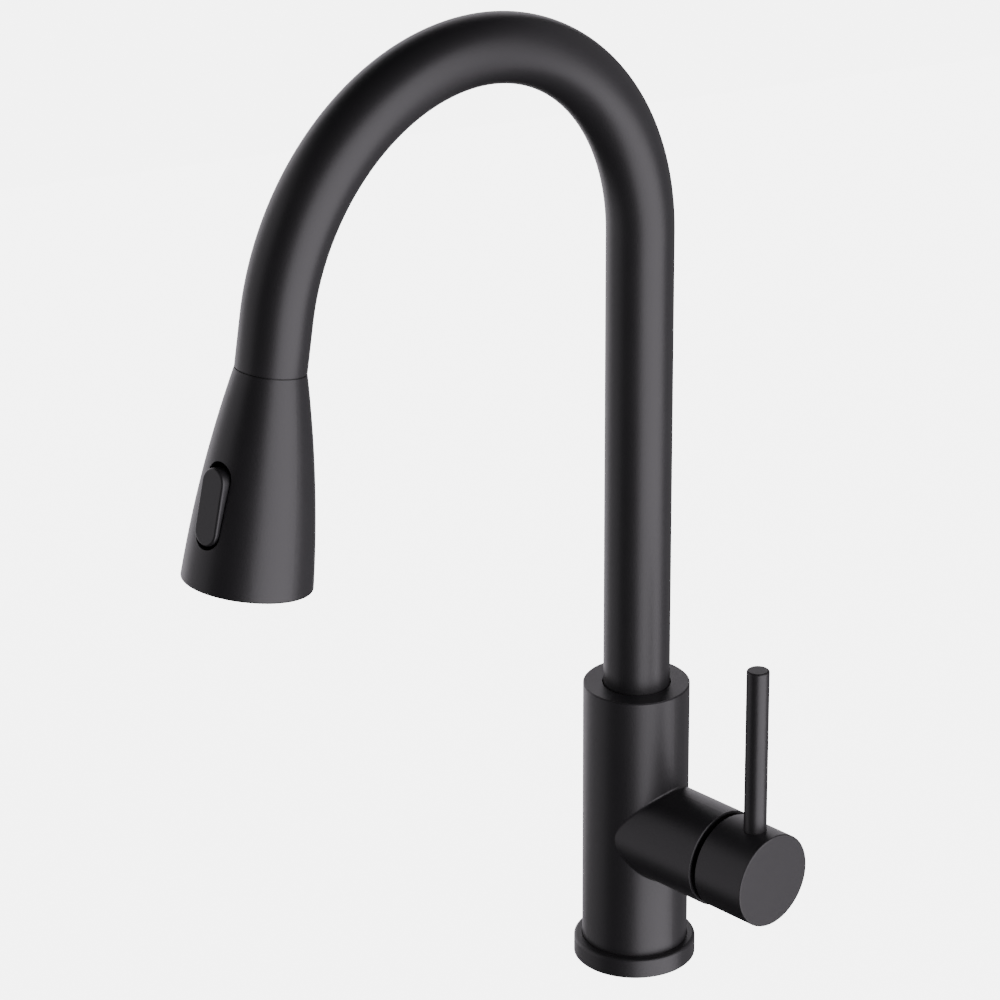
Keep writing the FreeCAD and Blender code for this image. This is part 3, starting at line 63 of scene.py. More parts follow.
def new_group(name, inputs, outputs):
    """A shader node group with named sockets; returns it with its input and output nodes."""
    group = bpy.data.node_groups.new(name, "ShaderNodeTree")
    for label, kind, value in inputs:
        group.interface.new_socket(label, in_out="INPUT", socket_type=kind).default_value = value
    for label, kind in outputs:
        group.interface.new_socket(label, in_out="OUTPUT", socket_type=kind)
    return group, group.nodes.new("NodeGroupInput").outputs, group.nodes.new("NodeGroupOutput").inputs


def node(tree, kind, settings=None, **links):
    """Adds a node and returns its outputs. Settings go on properties by name and on sockets by name or
    number; links join sockets by name, or by number after an underscore."""
    made = tree.nodes.new("ShaderNode" + kind)
    for name, value in (settings or {}).items():
        if isinstance(name, str) and hasattr(made, name):
            setattr(made, name, value)
        else:
            made.inputs[name].default_value = value
    for name, source in links.items():
        tree.links.new(source, made.inputs[int(name[1:]) if name[0] == "_" else name])
    return made.outputs


def grain_group():
    """Fine grain, wandering gloss and slightly uneven colour for coated, moulded and turned surfaces."""
    group, given, result = new_group("fine_grain", [
        ("Colour", "NodeSocketColor", (0.02, 0.02, 0.02, 1)),
        ("Colour drift", "NodeSocketFloat", 0.2),
        ("Roughness", "NodeSocketFloat", 0.4),
        ("Gloss drift", "NodeSocketFloat", 0.05),
        ("Grains per metre", "NodeSocketFloat", 3000.0),
        ("Relief", "NodeSocketFloat", 0.00001),
    ], [("Colour", "NodeSocketColor"), ("Roughness", "NodeSocketFloat"), ("Normal", "NodeSocketVector")])
    place = node(group, "TexCoord")["Object"]
    grain = node(group, "TexNoise", {"Detail": 2.0}, Vector=place, Scale=given["Grains per metre"])["Fac"]
    bump = node(group, "Bump", Height=grain, Distance=given["Relief"])["Normal"]
    wander = node(group, "TexNoise", {"Scale": 45.0, "Detail": 3.0}, Vector=place)["Fac"]
    drift = node(group, "Math", {"operation": "SUBTRACT", 1: 0.5}, _0=wander)["Value"]
    rough = node(group, "Math", {"operation": "MULTIPLY_ADD"}, _0=drift, _1=given["Gloss drift"],
                 _2=given["Roughness"])["Value"]
    shade = node(group, "Math", {"operation": "MULTIPLY_ADD", 2: 1.0}, _0=drift,
                 _1=given["Colour drift"])["Value"]
    tint = node(group, "HueSaturation", Value=shade, Color=given["Colour"])["Color"]
    for label, source in (("Colour", tint), ("Roughness", rough), ("Normal", bump)):
        group.links.new(source, result[label])
    return group


FINE_GRAIN = grain_group()


def grained(name, colour, roughness, gloss_drift=0.05, grains=3000.0, relief=0.00001, metallic=0.0):
    """A material whose colour, gloss and grain come from the fine_grain group."""
    material = bpy.data.materials.new(name)
    material.use_nodes = True
    tree = material.node_tree
    shader = tree.nodes["Principled BSDF"].inputs
    shader["Metallic"].default_value = metallic
    skin = tree.nodes.new("ShaderNodeGroup")
    skin.node_tree = FINE_GRAIN
    for label, value in (("Colour", (*colour, 1)), ("Roughness", roughness), ("Gloss drift", gloss_drift),
                         ("Grains per metre", grains), ("Relief", relief)):
        skin.inputs[label].default_value = value
    for label, socket in (("Colour", "Base Color"), ("Roughness", "Roughness"), ("Normal", "Normal")):
        tree.links.new(skin.outputs[label], shader[socket])
    return material


def dress(material, *names):
    """Gives nodes of the frame a material."""
    for name in names:
        for slot in frame["nodes"][name].material_slots:
            slot.material = material


BLACK_COAT = grained("matte_black_coat", (0.0125, 0.012, 0.013), 0.42)
dress(BLACK_COAT, "base_ring")


# ---- Gasket under the ring -----------------------------------------------------------------
# A moulded rubber ring with rounded edges, squeezed in a groove under the base ring. It keeps
# water out of the hole in the worktop.

RUBBER = grained("black_rubber", (0.018, 0.018, 0.018), 0.72, grains=1500.0, relief=0.00003)
MM = 0.001
GASKET_HOLE, GASKET_EDGE = 19.5, 0.3


def rounded(corners, steps=5):
    """An outline with its corners rounded; a corner is (radius, height) or (radius, height, fillet) in mm."""
    points = []
    count = len(corners)
    for index, corner in enumerate(corners):
        here = Vector(corner[:2])
        if len(corner) == 2:
            points.append(here)
            continue
        back = Vector(corners[index - 1][:2]) - here
        ahead = Vector(corners[(index + 1) % count][:2]) - here
        half = back.angle(ahead) / 2
        reach = corner[2] / math.tan(half)
        start, end = here + back.normalized() * reach, here + ahead.normalized() * reach
        middle = here + (back.normalized() + ahead.normalized()).normalized() * (corner[2] / math.sin(half))
        for step in range(steps + 1):
            points.append(middle + (start - middle).slerp(end - middle, step / steps) * corner[2])
    return points


def mesh_piece(name, points, faces, material, body, sharp=35):
    """An object from points in metres, shaded smooth up to a sharp angle, riding on a body."""
    mesh = bpy.data.meshes.new(name)
    mesh.from_pydata(points, [], faces)
    shape = bmesh.new()
    shape.from_mesh(mesh)
    bmesh.ops.remove_doubles(shape, verts=shape.verts, dist=1e-7)
    bmesh.ops.recalc_face_normals(shape, faces=shape.faces)
    shape.to_mesh(mesh)
    shape.free()
    mesh.shade_smooth()
    mesh.set_sharp_from_angle(angle=math.radians(sharp))
    mesh.materials.append(material)
    piece = bpy.data.objects.new(name, mesh)
    bpy.context.scene.collection.objects.link(piece)
    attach(piece, body)
    return piece


UPRIGHT = Matrix.Identity(4)


def lathe(outline, place=UPRIGHT, segments=96):
    """Points and faces of a closed outline turned round the Z axis of a place; radii and heights in mm."""
    points, faces = [], []
    count = len(outline)
    for turn in range(segments):
        angle = 2 * math.pi * turn / segments
        c, s = math.cos(angle), math.sin(angle)
        points += [place @ Vector((r * c * MM, r * s * MM, h * MM)) for r, h in outline]
    for turn in range(segments):
        following = (turn + 1) % segments
        for index in range(count):
            ahead = (index + 1) % count
            if outline[index][0] < 1e-6 and outline[ahead][0] < 1e-6:
                continue
            corners = [turn * count + index, following * count + index,
                       following * count + ahead, turn * count + ahead]
            if outline[index][0] < 1e-6:
                corners.pop(1)
            elif outline[ahead][0] < 1e-6:
                corners.pop(2)
            faces.append(corners)
    return points, faces


def turned_piece(name, corners, material, body, place=UPRIGHT, segments=96, stands_for=None):
    """A turned object with rounded corners; it may stand for a node of the frame."""
    piece = mesh_piece(name, *lathe([tuple(p) for p in rounded(corners)], place, segments), material, body)
    if stands_for:
        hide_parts(stands_for)
    return piece


def turned_size(name):
    """The outer radius, lowest level and highest level of a turned node, in mm."""
    low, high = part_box(name)
    return high[0] / MM, low[2] / MM, high[2] / MM


def flat_ring(name, stands_for, hole, hole_edge, rim_edge, material):
    """A flat ring as large as the node that it stands for, with rounded edges at its hole and rim."""
    radius, low, top = turned_size(stands_for)
    ring = turned_piece(name, [(hole, low, hole_edge), (radius, low, rim_edge), (radius, top, rim_edge),
                               (hole, top, hole_edge)], material, "faucet_base", stands_for=stands_for)


flat_ring("gasket_ring", "base_gasket", GASKET_HOLE, GASKET_EDGE, GASKET_EDGE, RUBBER)


# ---- Threaded shank ------------------------------------------------------------------------
# A brass tube with a 1.5 mm thread rolled on it, screwed up into the foot of the body. It
# hangs through the worktop and carries the clamping nut.

BRASS = grained("machined_brass", (0.58, 0.40, 0.17), 0.28, gloss_drift=0.12, grains=900.0,
                relief=0.000006, metallic=1.0)
SHANK_RADIUS, SHANK_BORE, FLANGE_LOW = 16.0, 14.25, 3.0
FLANGE_RADIUS, SHANK_END, FLANGE_TOP = turned_size("threaded_shank")
THREAD_PITCH, THREAD_DEPTH, THREAD_TOP = 1.5, 0.75, -1.0


def shank_mesh(segments=72, steps=8):
    """The outside climbs in a helix; its thread fades out at both ends."""
    rows = int((THREAD_TOP - SHANK_END) / THREAD_PITCH * steps)
    points, faces = [], []
    for row in range(rows + 1):
        height = SHANK_END + (THREAD_TOP - SHANK_END) * row / rows
        fade = min(1.0, row / steps, (rows - row) / (2 * steps))
        for turn in range(segments):
            share = turn / segments
            wave = (height / THREAD_PITCH + share) % 1.0
            ridge = abs(2 * wave - 1)
            radius = SHANK_RADIUS - THREAD_DEPTH * fade * min(1.0, max(0.0, ridge * 1.25 - 0.1))
            angle = 2 * math.pi * share
            points.append((radius * math.cos(angle) * MM, radius * math.sin(angle) * MM, height * MM))
    caps = [(SHANK_RADIUS, FLANGE_LOW), (FLANGE_RADIUS, FLANGE_LOW), (FLANGE_RADIUS, FLANGE_TOP),
            (SHANK_BORE, FLANGE_TOP), (SHANK_BORE, SHANK_END)]
    for radius, height in caps:
        for turn in range(segments):
            angle = 2 * math.pi * turn / segments
            points.append((radius * math.cos(angle) * MM, radius * math.sin(angle) * MM, height * MM))
    total = rows + 1 + len(caps)
    for row in range(total):
        above = (row + 1) % total
        for turn in range(segments):
            beside = (turn + 1) % segments
            faces.append((row * segments + turn, row * segments + beside,
                          above * segments + beside, above * segments + turn))
    return points, faces


shank = mesh_piece("shank_with_thread", *shank_mesh(), BRASS, "faucet_base", sharp=50)
shank.visible_glossy = False  # a real worktop hides its brass from the coated knob, which would mirror it
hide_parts("threaded_shank")


# ---- Washers and clamping nut --------------------------------------------------------------
# Under the worktop a rubber and a steel washer spread the load of a moulded nut, which is
# turned up the shank by hand by its four wings.

STEEL = grained("plain_steel", (0.52, 0.52, 0.53), 0.3, gloss_drift=0.1, grains=1200.0,
                relief=0.000004, metallic=1.0)
GREY_PLASTIC = grained("grey_moulding", (0.16, 0.16, 0.165), 0.46, grains=1800.0, relief=0.00002)
WASHER_HOLE = 16.35
flat_ring("rubber_clamp_washer", "rubber_washer", WASHER_HOLE, 0.4, 0.6, RUBBER)
flat_ring("steel_clamp_washer", "steel_washer", WASHER_HOLE, 0.2, 0.35, STEEL)
dress(GREY_PLASTIC, "mounting_nut")


# ---- Body casting --------------------------------------------------------------------------
# One zinc casting: the upright body and the side branch, with a small fillet where they meet.
# It is drilled out from below, above and the side, then powder coated.

dress(BLACK_COAT, "body_casting")


# ---- Inside the body -----------------------------------------------------------------------
# A drilled brass block leads hot and cold water to the cartridge and mixed water back down.
# A socket screw at the back of the body runs in the spout's groove and keeps the spout in.

dress(BRASS, "waterway_block")
dress(STEEL, "spout_keeper_screw")


# ---- Cartridge -----------------------------------------------------------------------------
# Two lapped ceramic discs in a plastic housing. The rear one stands still on its seals; the
# carrier slides and turns the front one over it as the lever moves.

CERAMIC = grained("lapped_ceramic", (0.82, 0.82, 0.79), 0.16, gloss_drift=0.02, relief=0.000002)
ACETAL = grained("white_acetal", (0.76, 0.75, 0.70), 0.38, grains=1600.0, relief=0.00001)
dress(GREY_PLASTIC, "cartridge_base", "cartridge_housing")
dress(RUBBER, "cartridge_seals")
dress(CERAMIC, "fixed_disc", "moving_disc")
dress(ACETAL, "disc_carrier", "stem_guide")
dress(STEEL, "stem_pivot_pin")


# ---- Branch nut and bonnet -----------------------------------------------------------------
# A threaded brass nut presses the cartridge on its seat. The coated bonnet over it closes the
# branch behind the knob and lets the stem swing in its round opening.

dress(BRASS, "cartridge_nut")
dress(BLACK_COAT, "bonnet")


# ---- Stem, knob and lever ------------------------------------------------------------------
# A brass stem rocks on its pin. The coated knob is clamped on it by a socket screw from below,
# and the slim lever, a turned rod, stands in the knob's upper side.

dress(BRASS, "stem")
dress(BLACK_COAT, "lever_knob", "lever_rod")
dress(STEEL, "knob_grub_screw")


# ---- Spout tube ----------------------------------------------------------------------------
# A brass tube bent over a round former: a straight column, a round arch and a short straight
# outlet that leans a little. Its ends are deburred, and it is coated all over.

JOINTS = {joint["name"]: joint for joint in frame["joints"]}
HEAD_SEAM, OUTLET = Vector(JOINTS["head_spin"]["pos_m"]), Vector(JOINTS["head_spin"]["axis"])
TUBE_WALL, OUTLET_RUN, DEBURR = 1.2, 20.0, 0.25
TUBE_RADIUS, TUBE_LOW = turned_size("spout_tube")[:2]
TUBE_BORE = TUBE_RADIUS - TUBE_WALL
OUTLET_TILT = math.atan2(-OUTLET.y, -OUTLET.z)
ARCH_TURN = math.pi - OUTLET_TILT
ARCH_RADIUS = (-HEAD_SEAM.y / MM - OUTLET_RUN * math.sin(OUTLET_TILT)) / (1 + math.cos(OUTLET_TILT))
COLUMN_TOP = HEAD_SEAM.z / MM + OUTLET_RUN * math.cos(OUTLET_TILT) - ARCH_RADIUS * math.sin(OUTLET_TILT)


def gooseneck(travel):
    """Centre of the spout and its direction, at a distance in mm from the column's foot."""
    column = COLUMN_TOP - TUBE_LOW
    arch = ARCH_RADIUS * ARCH_TURN
    if travel <= column:
        return Vector((0, 0, TUBE_LOW + travel)), Vector((0, 0, 1))
    angle = min((travel - column) / ARCH_RADIUS, ARCH_TURN)
    outward = Vector((0, math.cos(angle), math.sin(angle)))
    centre = Vector((0, -ARCH_RADIUS, COLUMN_TOP)) + outward * ARCH_RADIUS
    ahead = Vector((0, -math.sin(angle), math.cos(angle)))
    return centre + ahead * max(0.0, travel - column - arch), ahead


TUBE_LENGTH = COLUMN_TOP - TUBE_LOW + ARCH_RADIUS * ARCH_TURN + OUTLET_RUN


def tube_rings(stations, segments):
    """Rings of points round the gooseneck; a station is (distance along it, radius)."""
    points = []
    for travel, radius in stations:
        centre, ahead = gooseneck(travel)
        across = Vector((1, 0, 0))
        inward = ahead.cross(across)
        for turn in range(segments):
            angle = 2 * math.pi * turn / segments
            points.append((centre + (across * math.cos(angle) + inward * math.sin(angle)) * radius) * MM)
    return points


def ring_faces(rings, segments, closed):
    """Faces between rings of points; a closed run joins its last ring to its first."""
    faces = []
    for ring in range(rings if closed else rings - 1):
        above = (ring + 1) % rings
        for turn in range(segments):
            beside = (turn + 1) % segments
            faces.append((ring * segments + turn, ring * segments + beside,
                          above * segments + beside, above * segments + turn))
    return faces


def spout_mesh(segments=112, arch_rings=150):
    """Rings go up the outside, round the outlet's edge and back down the bore."""
    column = COLUMN_TOP - TUBE_LOW
    arch_end = TUBE_LENGTH - OUTLET_RUN
    along = [DEBURR, column / 2]
    along += [column + (arch_end - column) * step / arch_rings for step in range(arch_rings + 1)]
    along.append(TUBE_LENGTH - DEBURR)
    stations = [(0.0, TUBE_RADIUS - DEBURR)] + [(travel, TUBE_RADIUS) for travel in along]
    for degrees in (30, 60, 90):
        back, inward = 1 - math.sin(math.radians(degrees)), 1 - math.cos(math.radians(degrees))
        stations.append((TUBE_LENGTH - DEBURR * back, TUBE_RADIUS - DEBURR * inward))
    stations.append((TUBE_LENGTH, TUBE_BORE + DEBURR / 2))
    stations += [(travel, TUBE_BORE) for travel in reversed(along)]
    stations.append((0.0, TUBE_BORE + DEBURR / 2))
    return tube_rings(stations, segments), ring_faces(len(stations), segments, True)


spout = mesh_piece("gooseneck_tube", *spout_mesh(), BLACK_COAT, "spout")
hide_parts("spout_tube")


# ---- Swivel at the spout's foot ------------------------------------------------------------
# The brass foot brazed in the tube stands on an acetal thrust washer and runs in two glide
# rings, so the spout turns freely and without rattle.

dress(BRASS, "spout_foot")
dress(ACETAL, "thrust_washer", "lower_glide_ring")
GLIDE_GREY = grained("dark_acetal", (0.03, 0.03, 0.031), 0.4, grains=1600.0)
dress(GLIDE_GREY, "upper_glide_ring")


# ---- Outlet bush ---------------------------------------------------------------------------
# A bush moulded in black plastic and pressed in the end of the tube. It guides the hose without
# chafing and centres the head's collar.

BLACK_PLASTIC = grained("matte_black_moulding", (0.0125, 0.012, 0.013), 0.42, grains=2400.0, relief=0.000012)
dress(BLACK_PLASTIC, "outlet_bush")


# ---- Hose ----------------------------------------------------------------------------------
# A flexible hose in a tight nylon braid, led up through the body and the gooseneck. A crimped
# brass ferrule ends it, and a swivel nut with a rubber washer joins it to the spray head.

HOSE_RADIUS, HOSE_SPLIT = turned_size("spray_hose")[:2]
YARN_BANDS, YARN_SLANT, YARN_RELIEF = 24, 2.2, 0.0002


def braid_material():
    """Crossing bands of yarn, drawn in the hose's own turns and millimetres of length."""
    material = bpy.data.materials.new("nylon_braid")
    material.use_nodes = True
    tree = material.node_tree
    shader = tree.nodes["Principled BSDF"].inputs
    place = node(tree, "UVMap", {"uv_map": "braid"})["UV"]
    split = node(tree, "SeparateXYZ", Vector=place)
    bands = []
    for slant in (YARN_SLANT, -YARN_SLANT):
        slope = node(tree, "Math", {"operation": "MULTIPLY", 1: slant}, _0=split["Y"])["Value"]
        shift = node(tree, "Math", {"operation": "MULTIPLY_ADD", 1: 2 * math.pi * YARN_BANDS}, _0=split["X"],
                     _2=slope)["Value"]
        bands.append(node(tree, "Math", {"operation": "SINE"}, _0=shift)["Value"])
    weave = node(tree, "Math", {"operation": "MAXIMUM"}, _0=bands[0], _1=bands[1])["Value"]
    ramp = node(tree, "MapRange", {"From Min": -0.6, "From Max": 1.0}, Value=weave)["Result"]
    bump = node(tree, "Bump", {"Distance": YARN_RELIEF}, Height=ramp)["Normal"]
    yarn = node(tree, "Mix", {"data_type": "RGBA", 6: (0.006, 0.006, 0.006, 1), 7: (0.05, 0.05, 0.052, 1)},
                Factor=ramp)[2]
    tree.links.new(yarn, shader["Base Color"])
    tree.links.new(bump, shader["Normal"])
    shader["Roughness"].default_value = 0.5
    shader["Sheen Weight"].default_value = 0.3
    return material


NYLON_BRAID = braid_material()


def hose_piece(name, centres, lengths, radius, segments=40):
    """A round hose along centres in metres; lengths are the mm of yarn at each ring."""
    points = []
    across = Vector((0, 1, 0)) if abs(centres[0].y - centres[-1].y) < 1e-9 else Vector((1, 0, 0))
    for index, centre in enumerate(centres):
        ahead = (centres[min(index + 1, len(centres) - 1)] - centres[max(index - 1, 0)]).normalized()
        side = ahead.cross(across)
        for turn in range(segments):
            angle = 2 * math.pi * turn / segments
            points.append(centre + (across * math.cos(angle) + side * math.sin(angle)) * radius)
    faces = ring_faces(len(centres), segments, False)
    faces += [list(range(segments)), [len(points) - segments + turn for turn in range(segments)]]
    mesh = bpy.data.meshes.new(name)
    mesh.from_pydata(points, [], faces)
    mesh.shade_smooth()
    mesh.set_sharp_from_angle(angle=math.radians(50))
    layer = mesh.uv_layers.new(name="braid")
    for polygon in mesh.polygons:
        turns = [mesh.loops[loop].vertex_index % segments for loop in polygon.loop_indices]
        wraps = max(turns) - min(turns) > segments / 2
        for loop, turn in zip(polygon.loop_indices, turns):
            ring = mesh.loops[loop].vertex_index // segments
            share = 1.0 if wraps and turn == 0 else turn / segments
            layer.data[loop].uv = (share, lengths[ring])
    mesh.materials.append(NYLON_BRAID)
    piece = bpy.data.objects.new(name, mesh)
    bpy.context.scene.collection.objects.link(piece)
    return piece


def evenly(start, end, count):
    """Values from start to end in equal steps."""
    return [start + (end - start) * step / count for step in range(count + 1)]


FERRULE_TOP, HOSE_END_GAP = 28.0, 0.6
hose_travels = evenly(HOSE_SPLIT - TUBE_LOW, TUBE_LENGTH - FERRULE_TOP - HOSE_END_GAP, 140)
arch_hose = hose_piece("braided_hose", [gooseneck(t)[0] * MM for t in hose_travels], hose_travels,
                       HOSE_RADIUS * MM)
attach(arch_hose, "spout")
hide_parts("spray_hose")

# Below the split the hose leans aside, past the water ports. Its cut end shows the rubber liner.
RISER_FOOT, RISER_ASIDE = turned_size("hose_riser")[1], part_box("hose_riser")[0][0] / MM + HOSE_RADIUS
LOW_BEND, LOW_BEND_RADIUS, HIGH_BEND, HIGH_BEND_RADIUS = 8.0, 971.0, 128.5, 307.0
LINER_BORE, LINER_RADIUS, LINER_OUT, LINER_DEPTH, LINER_CAP = 3.2, 5.4, 2.0, 1.9, 2.1
RISER = rounded([(RISER_ASIDE, RISER_FOOT + LINER_OUT), (RISER_ASIDE, LOW_BEND, LOW_BEND_RADIUS),
                 (0.0, HIGH_BEND, HIGH_BEND_RADIUS), (0.0, HOSE_SPLIT)], 12)
riser_hose = hose_piece("braided_riser", [Vector((x, 0, z)) * MM for x, z in RISER], [z for x, z in RISER],
                        HOSE_RADIUS * MM)
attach(riser_hose, "faucet_base")
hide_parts("hose_riser")
liner_place = Matrix.Translation(Vector((RISER_ASIDE, 0, RISER_FOOT)) * MM)
liner = turned_piece("hose_liner", [
    (0, LINER_CAP), (0, LINER_DEPTH), (LINER_BORE, LINER_DEPTH), (LINER_BORE, 0, 0.2),
    (LINER_RADIUS, 0, 0.3), (LINER_RADIUS, LINER_CAP)], RUBBER, "faucet_base", liner_place, 40)

# The stretch of hose that comes out of the spout behind a pulled head. With the head docked it
# is folded up in the end of the hose inside the tube.
PULL_LENGTH = JOINTS["spray_pull"]["range_m"][1] / MM
STRETCH_LOW, STRETCH_HIGH, STRETCH_INSET = -29.2, -28.0, 0.45
shares = evenly(0.0, 1.0, 120)
stretch = hose_piece(
    "drawn_hose",
    [HEAD_SEAM + OUTLET * (STRETCH_LOW + (STRETCH_HIGH - STRETCH_LOW) * share) * MM for share in shares],
    [PULL_LENGTH * share ** 2 * (3 - 2 * share) for share in shares],
    (HOSE_RADIUS - STRETCH_INSET) * MM)
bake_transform(stretch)
dress(BRASS, "hose_ferrule", "hose_nut")
dress(RUBBER, "hose_washer")


# ---- Dock and inlet ------------------------------------------------------------------------
# The collar on the head slips into the bush and holds the head straight, and its thin flange
# fills the seam. Below it lie the inlet's fine steel screen and the check valve that keeps used
# water out of the supply.

HEAD_PLACE = Matrix.Translation(HEAD_SEAM) @ Matrix.Rotation(math.pi - OUTLET_TILT, 4, "X")
SEAM_INNER, SEAM_OUTER, SEAM_TOP, SEAM_LOW = 10.0, 13.6, 0.08, 0.34
dress(BLACK_PLASTIC, "docking_collar")
flange = turned_piece("collar_flange", [
    (SEAM_INNER, SEAM_TOP), (SEAM_OUTER, SEAM_TOP, 0.05), (SEAM_OUTER, SEAM_LOW), (SEAM_INNER, SEAM_LOW)],
    BLACK_PLASTIC, "spray_head", HEAD_PLACE)
dress(STEEL, "inlet_screen")
dress(ACETAL, "check_valve")


# ---- Spray head ----------------------------------------------------------------------------
# A flared shell moulded in ABS and coated to match the metal, clipped over a core that leads
# the water past the diverter.

HEAD_COAT = grained("matte_black_head", (0.0125, 0.012, 0.013), 0.41, grains=2600.0, relief=0.00001)
dress(HEAD_COAT, "head_shell")
dress(GREY_PLASTIC, "spray_core")


# ---- Button and diverter -------------------------------------------------------------------
# A rocker on a steel pin, clipped in a small frame in the shell's window. Its tongue shifts the
# spool that sends the water to the aerator or to the nozzles.

dress(HEAD_COAT, "button_frame", "spray_button")
dress(STEEL, "rocker_pin")
dress(ACETAL, "diverter_spool")
dress(RUBBER, "spool_seals")


# ---- Spray face ----------------------------------------------------------------------------
# A silicone mat with a nozzle in each hole of the coated face plate, and the aerator screwed
# in the middle. The soft nozzles are rubbed clean of lime with a finger.

SILICONE = grained("grey_silicone", (0.045, 0.045, 0.048), 0.55, grains=1500.0, relief=0.00001)
MAT_HOLE, MAT_RADIUS, MAT_TOP, MAT_END = 8.35, 20.5, 77.6, 80.6
NOZZLE_RADIUS, NOZZLE_TIP, NOZZLE_END, JET_RADIUS, JET_DEPTH = 1.2, 1.0, 84.5, 0.4, 1.2
NOZZLE_RINGS = ((17.8, 18), (13.2, 12))


def mat_mesh():
    """The mat and its nozzles as one mesh; each nozzle tapers and has a jet hole sunk in its tip."""
    sheet = [(MAT_HOLE, MAT_TOP), (MAT_RADIUS, MAT_TOP), (MAT_RADIUS, MAT_END), (MAT_HOLE, MAT_END)]
    points, faces = lathe(sheet, HEAD_PLACE, 72)
    nozzle = [tuple(p) for p in rounded([
        (0, MAT_END - 0.05), (NOZZLE_RADIUS, MAT_END - 0.05), (NOZZLE_TIP, NOZZLE_END, 0.25),
        (JET_RADIUS, NOZZLE_END, 0.1), (JET_RADIUS, NOZZLE_END - JET_DEPTH), (0, NOZZLE_END - JET_DEPTH)], 3)]
    for ring, count in NOZZLE_RINGS:
        for index in range(count):
            angle = 2 * math.pi * index / count
            aside = Vector((math.cos(angle), math.sin(angle), 0)) * ring * MM
            more, sides = lathe(nozzle, HEAD_PLACE @ Matrix.Translation(aside), 20)
            start = len(points)
            points += more
            faces += [[start + corner for corner in side] for side in sides]
    return points, faces


mat = mesh_piece("nozzle_mat_soft", *mat_mesh(), SILICONE, "spray_head")
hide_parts("nozzle_mat")
dress(HEAD_COAT, "spray_face", "aerator")
dress(GREY_PLASTIC, "aerator_insert")


# ---- Worktop and floor ---------------------------------------------------------------------
# A long pale worktop whose front and back slope away, so that a pulled head hangs clear of it, over
# a wide pale floor. Both are clear from below, so that the clamping parts can be seen.

TOP_LENGTH, TOP_LEVEL = 2.5, -0.0002
FLAT_DEPTH, SLOPE_DEPTH, SLOPE_LOW = 0.03, 0.226, -0.046
FLOOR_SIZE, FLOOR_LEVEL = 2.5, -0.2
PALE_GLOW = 5.85


def pale_material():
    """Bright and even from above, clear from below."""
    material = grained("pale_top", (0.2, 0.2, 0.2), 0.8)
    tree = material.node_tree
    shader = tree.nodes["Principled BSDF"]
    shader.inputs["Emission Color"].default_value = (1, 1, 1, 1)
    shader.inputs["Emission Strength"].default_value = PALE_GLOW
    underside = node(tree, "NewGeometry")["Backfacing"]
    clear = node(tree, "BsdfTransparent")["BSDF"]
    both = node(tree, "MixShader", _0=underside, _1=shader.outputs["BSDF"], _2=clear)["Shader"]
    tree.links.new(both, tree.nodes["Material Output"].inputs["Surface"])
    return material


PALE = pale_material()


def stage_piece(name, points, faces):
    """A piece of the set: it is seen, and neither lights nor shades the faucet."""
    mesh = bpy.data.meshes.new(name)
    mesh.from_pydata(points, [], faces)
    mesh.materials.append(PALE)
    piece = bpy.data.objects.new(name, mesh)
    bpy.context.scene.collection.objects.link(piece)
    piece.visible_glossy = piece.visible_diffuse = piece.visible_shadow = False


top_line = ((-SLOPE_DEPTH, SLOPE_LOW), (-FLAT_DEPTH, TOP_LEVEL),
            (FLAT_DEPTH, TOP_LEVEL), (SLOPE_DEPTH, SLOPE_LOW))
stage_piece("worktop", [(x, y, z) for y, z in top_line for x in (-TOP_LENGTH, TOP_LENGTH)],
            [(2 * strip, 2 * strip + 1, 2 * strip + 3, 2 * strip + 2) for strip in range(len(top_line) - 1)])
stage_piece("floor", [(x * FLOOR_SIZE, y * FLOOR_SIZE, FLOOR_LEVEL)
                      for x, y in ((-1, -1), (1, -1), (1, 1), (-1, 1))], [(0, 1, 2, 3)])


# ---- Studio light and camera ---------------------------------------------------------------
# A big soft panel at the camera's right, a dimmer one at the left, one behind and a faint one far
# round to the right, in a nearly dark room with a white backdrop.

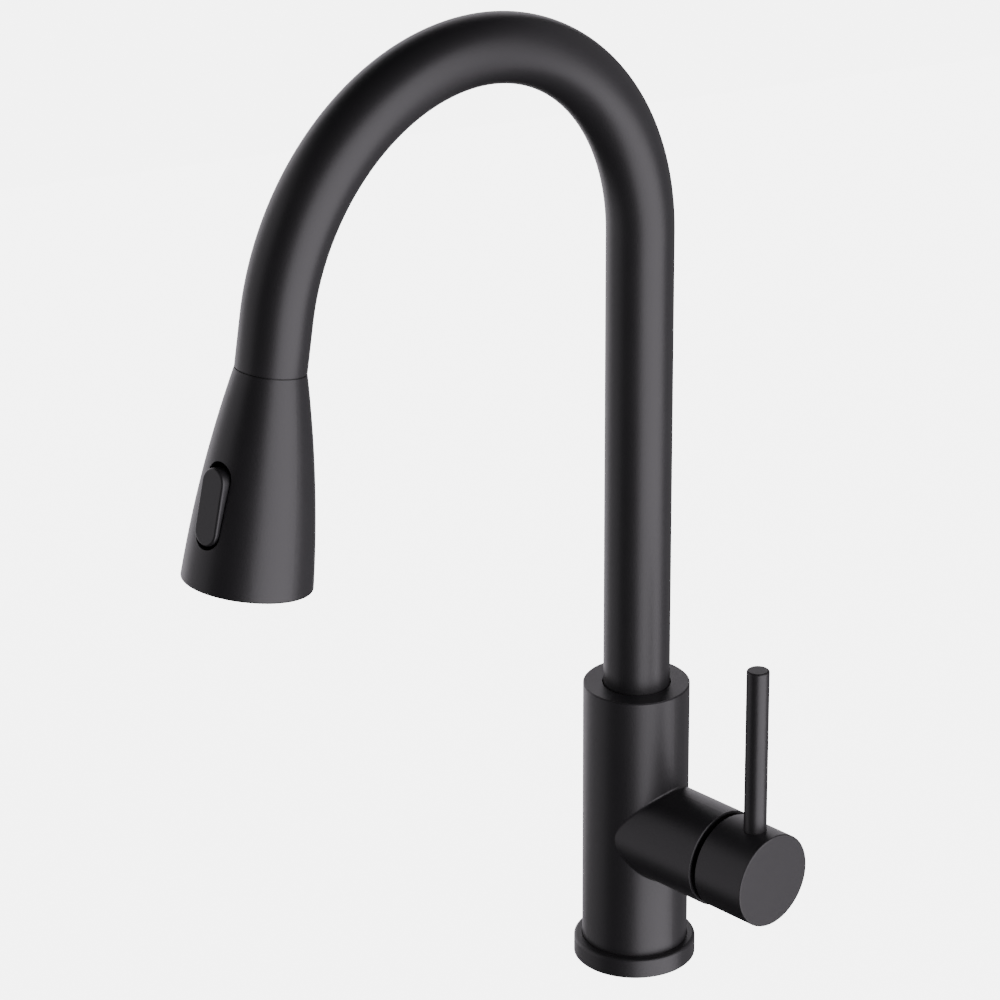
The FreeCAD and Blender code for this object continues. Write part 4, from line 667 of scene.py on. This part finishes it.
CAMERA_AZIMUTH, CAMERA_RISE = math.radians(45.386), math.radians(23.625)
CAMERA_DISTANCE, FOCAL_SHARE, CAMERA_SHIFT = 1.961923, 4.754321, (-0.047055, -0.02)
AIM_ASIDE, AIM_HEIGHT = -0.037588, 0.220594
AIM = Vector((AIM_ASIDE * math.cos(CAMERA_AZIMUTH), AIM_ASIDE * math.sin(CAMERA_AZIMUTH), AIM_HEIGHT))
PANELS = (  # name, degrees to the camera's right, height angle, width and height in m, brightness
    ("right_panel", 47, -5, 2.6, 3.6, 3.2),
    ("left_panel", -95, 0, 1.8, 2.6, 0.8),
    ("back_panel", -158, -2, 2.4, 2.0, 1.6),
    ("far_panel", 130, -2, 1.6, 2.6, 0.3),
)
PANEL_DISTANCE, PANEL_AIM, PANEL_TINT = 1.6, Vector((0, -0.09, 0.22)), (1.0, 0.955, 1.02)
ROOM_LIGHT, BACKDROP_LIGHT = 0.015, 6.0


def direction(azimuth, rise):
    """A direction, turned from the front towards the lever's side and then raised."""
    return Vector((math.sin(azimuth) * math.cos(rise), -math.cos(azimuth) * math.cos(rise), math.sin(rise)))


for name, azimuth, rise, width, height, brightness in PANELS:
    away = direction(CAMERA_AZIMUTH + math.radians(azimuth), math.radians(rise))
    light = bpy.data.lights.new(name, "AREA")
    light.shape = "RECTANGLE"
    light.size, light.size_y = width, height
    light.energy = math.pi * width * height * brightness
    light.color = PANEL_TINT
    lamp = bpy.data.objects.new(name, light)
    lamp.visible_camera = False
    lamp.location = PANEL_AIM + away * PANEL_DISTANCE
    lamp.rotation_euler = (-away).to_track_quat("-Z", "Y").to_euler()
    bpy.context.scene.collection.objects.link(lamp)

world = bpy.data.worlds.new("studio")
world.use_nodes = True
bpy.context.scene.world = world
seen = node(world.node_tree, "LightPath")["Is Camera Ray"]
strength = node(world.node_tree, "MapRange", {"To Min": ROOM_LIGHT, "To Max": BACKDROP_LIGHT},
                Value=seen)["Result"]
backdrop = world.node_tree.nodes["Background"].inputs
backdrop["Color"].default_value = (1, 1, 1, 1)
world.node_tree.links.new(strength, backdrop["Strength"])

camera = bpy.data.objects.new("camera", bpy.data.cameras.new("camera"))
camera.data.sensor_width = 36.0
camera.data.lens = FOCAL_SHARE * camera.data.sensor_width
camera.data.shift_x, camera.data.shift_y = CAMERA_SHIFT
camera.data.clip_end = 20
camera.location = AIM + direction(CAMERA_AZIMUTH, CAMERA_RISE) * CAMERA_DISTANCE
camera.rotation_euler = (AIM - camera.location).to_track_quat("-Z", "Y").to_euler()
bpy.context.scene.collection.objects.link(camera)
bpy.context.scene.camera = camera
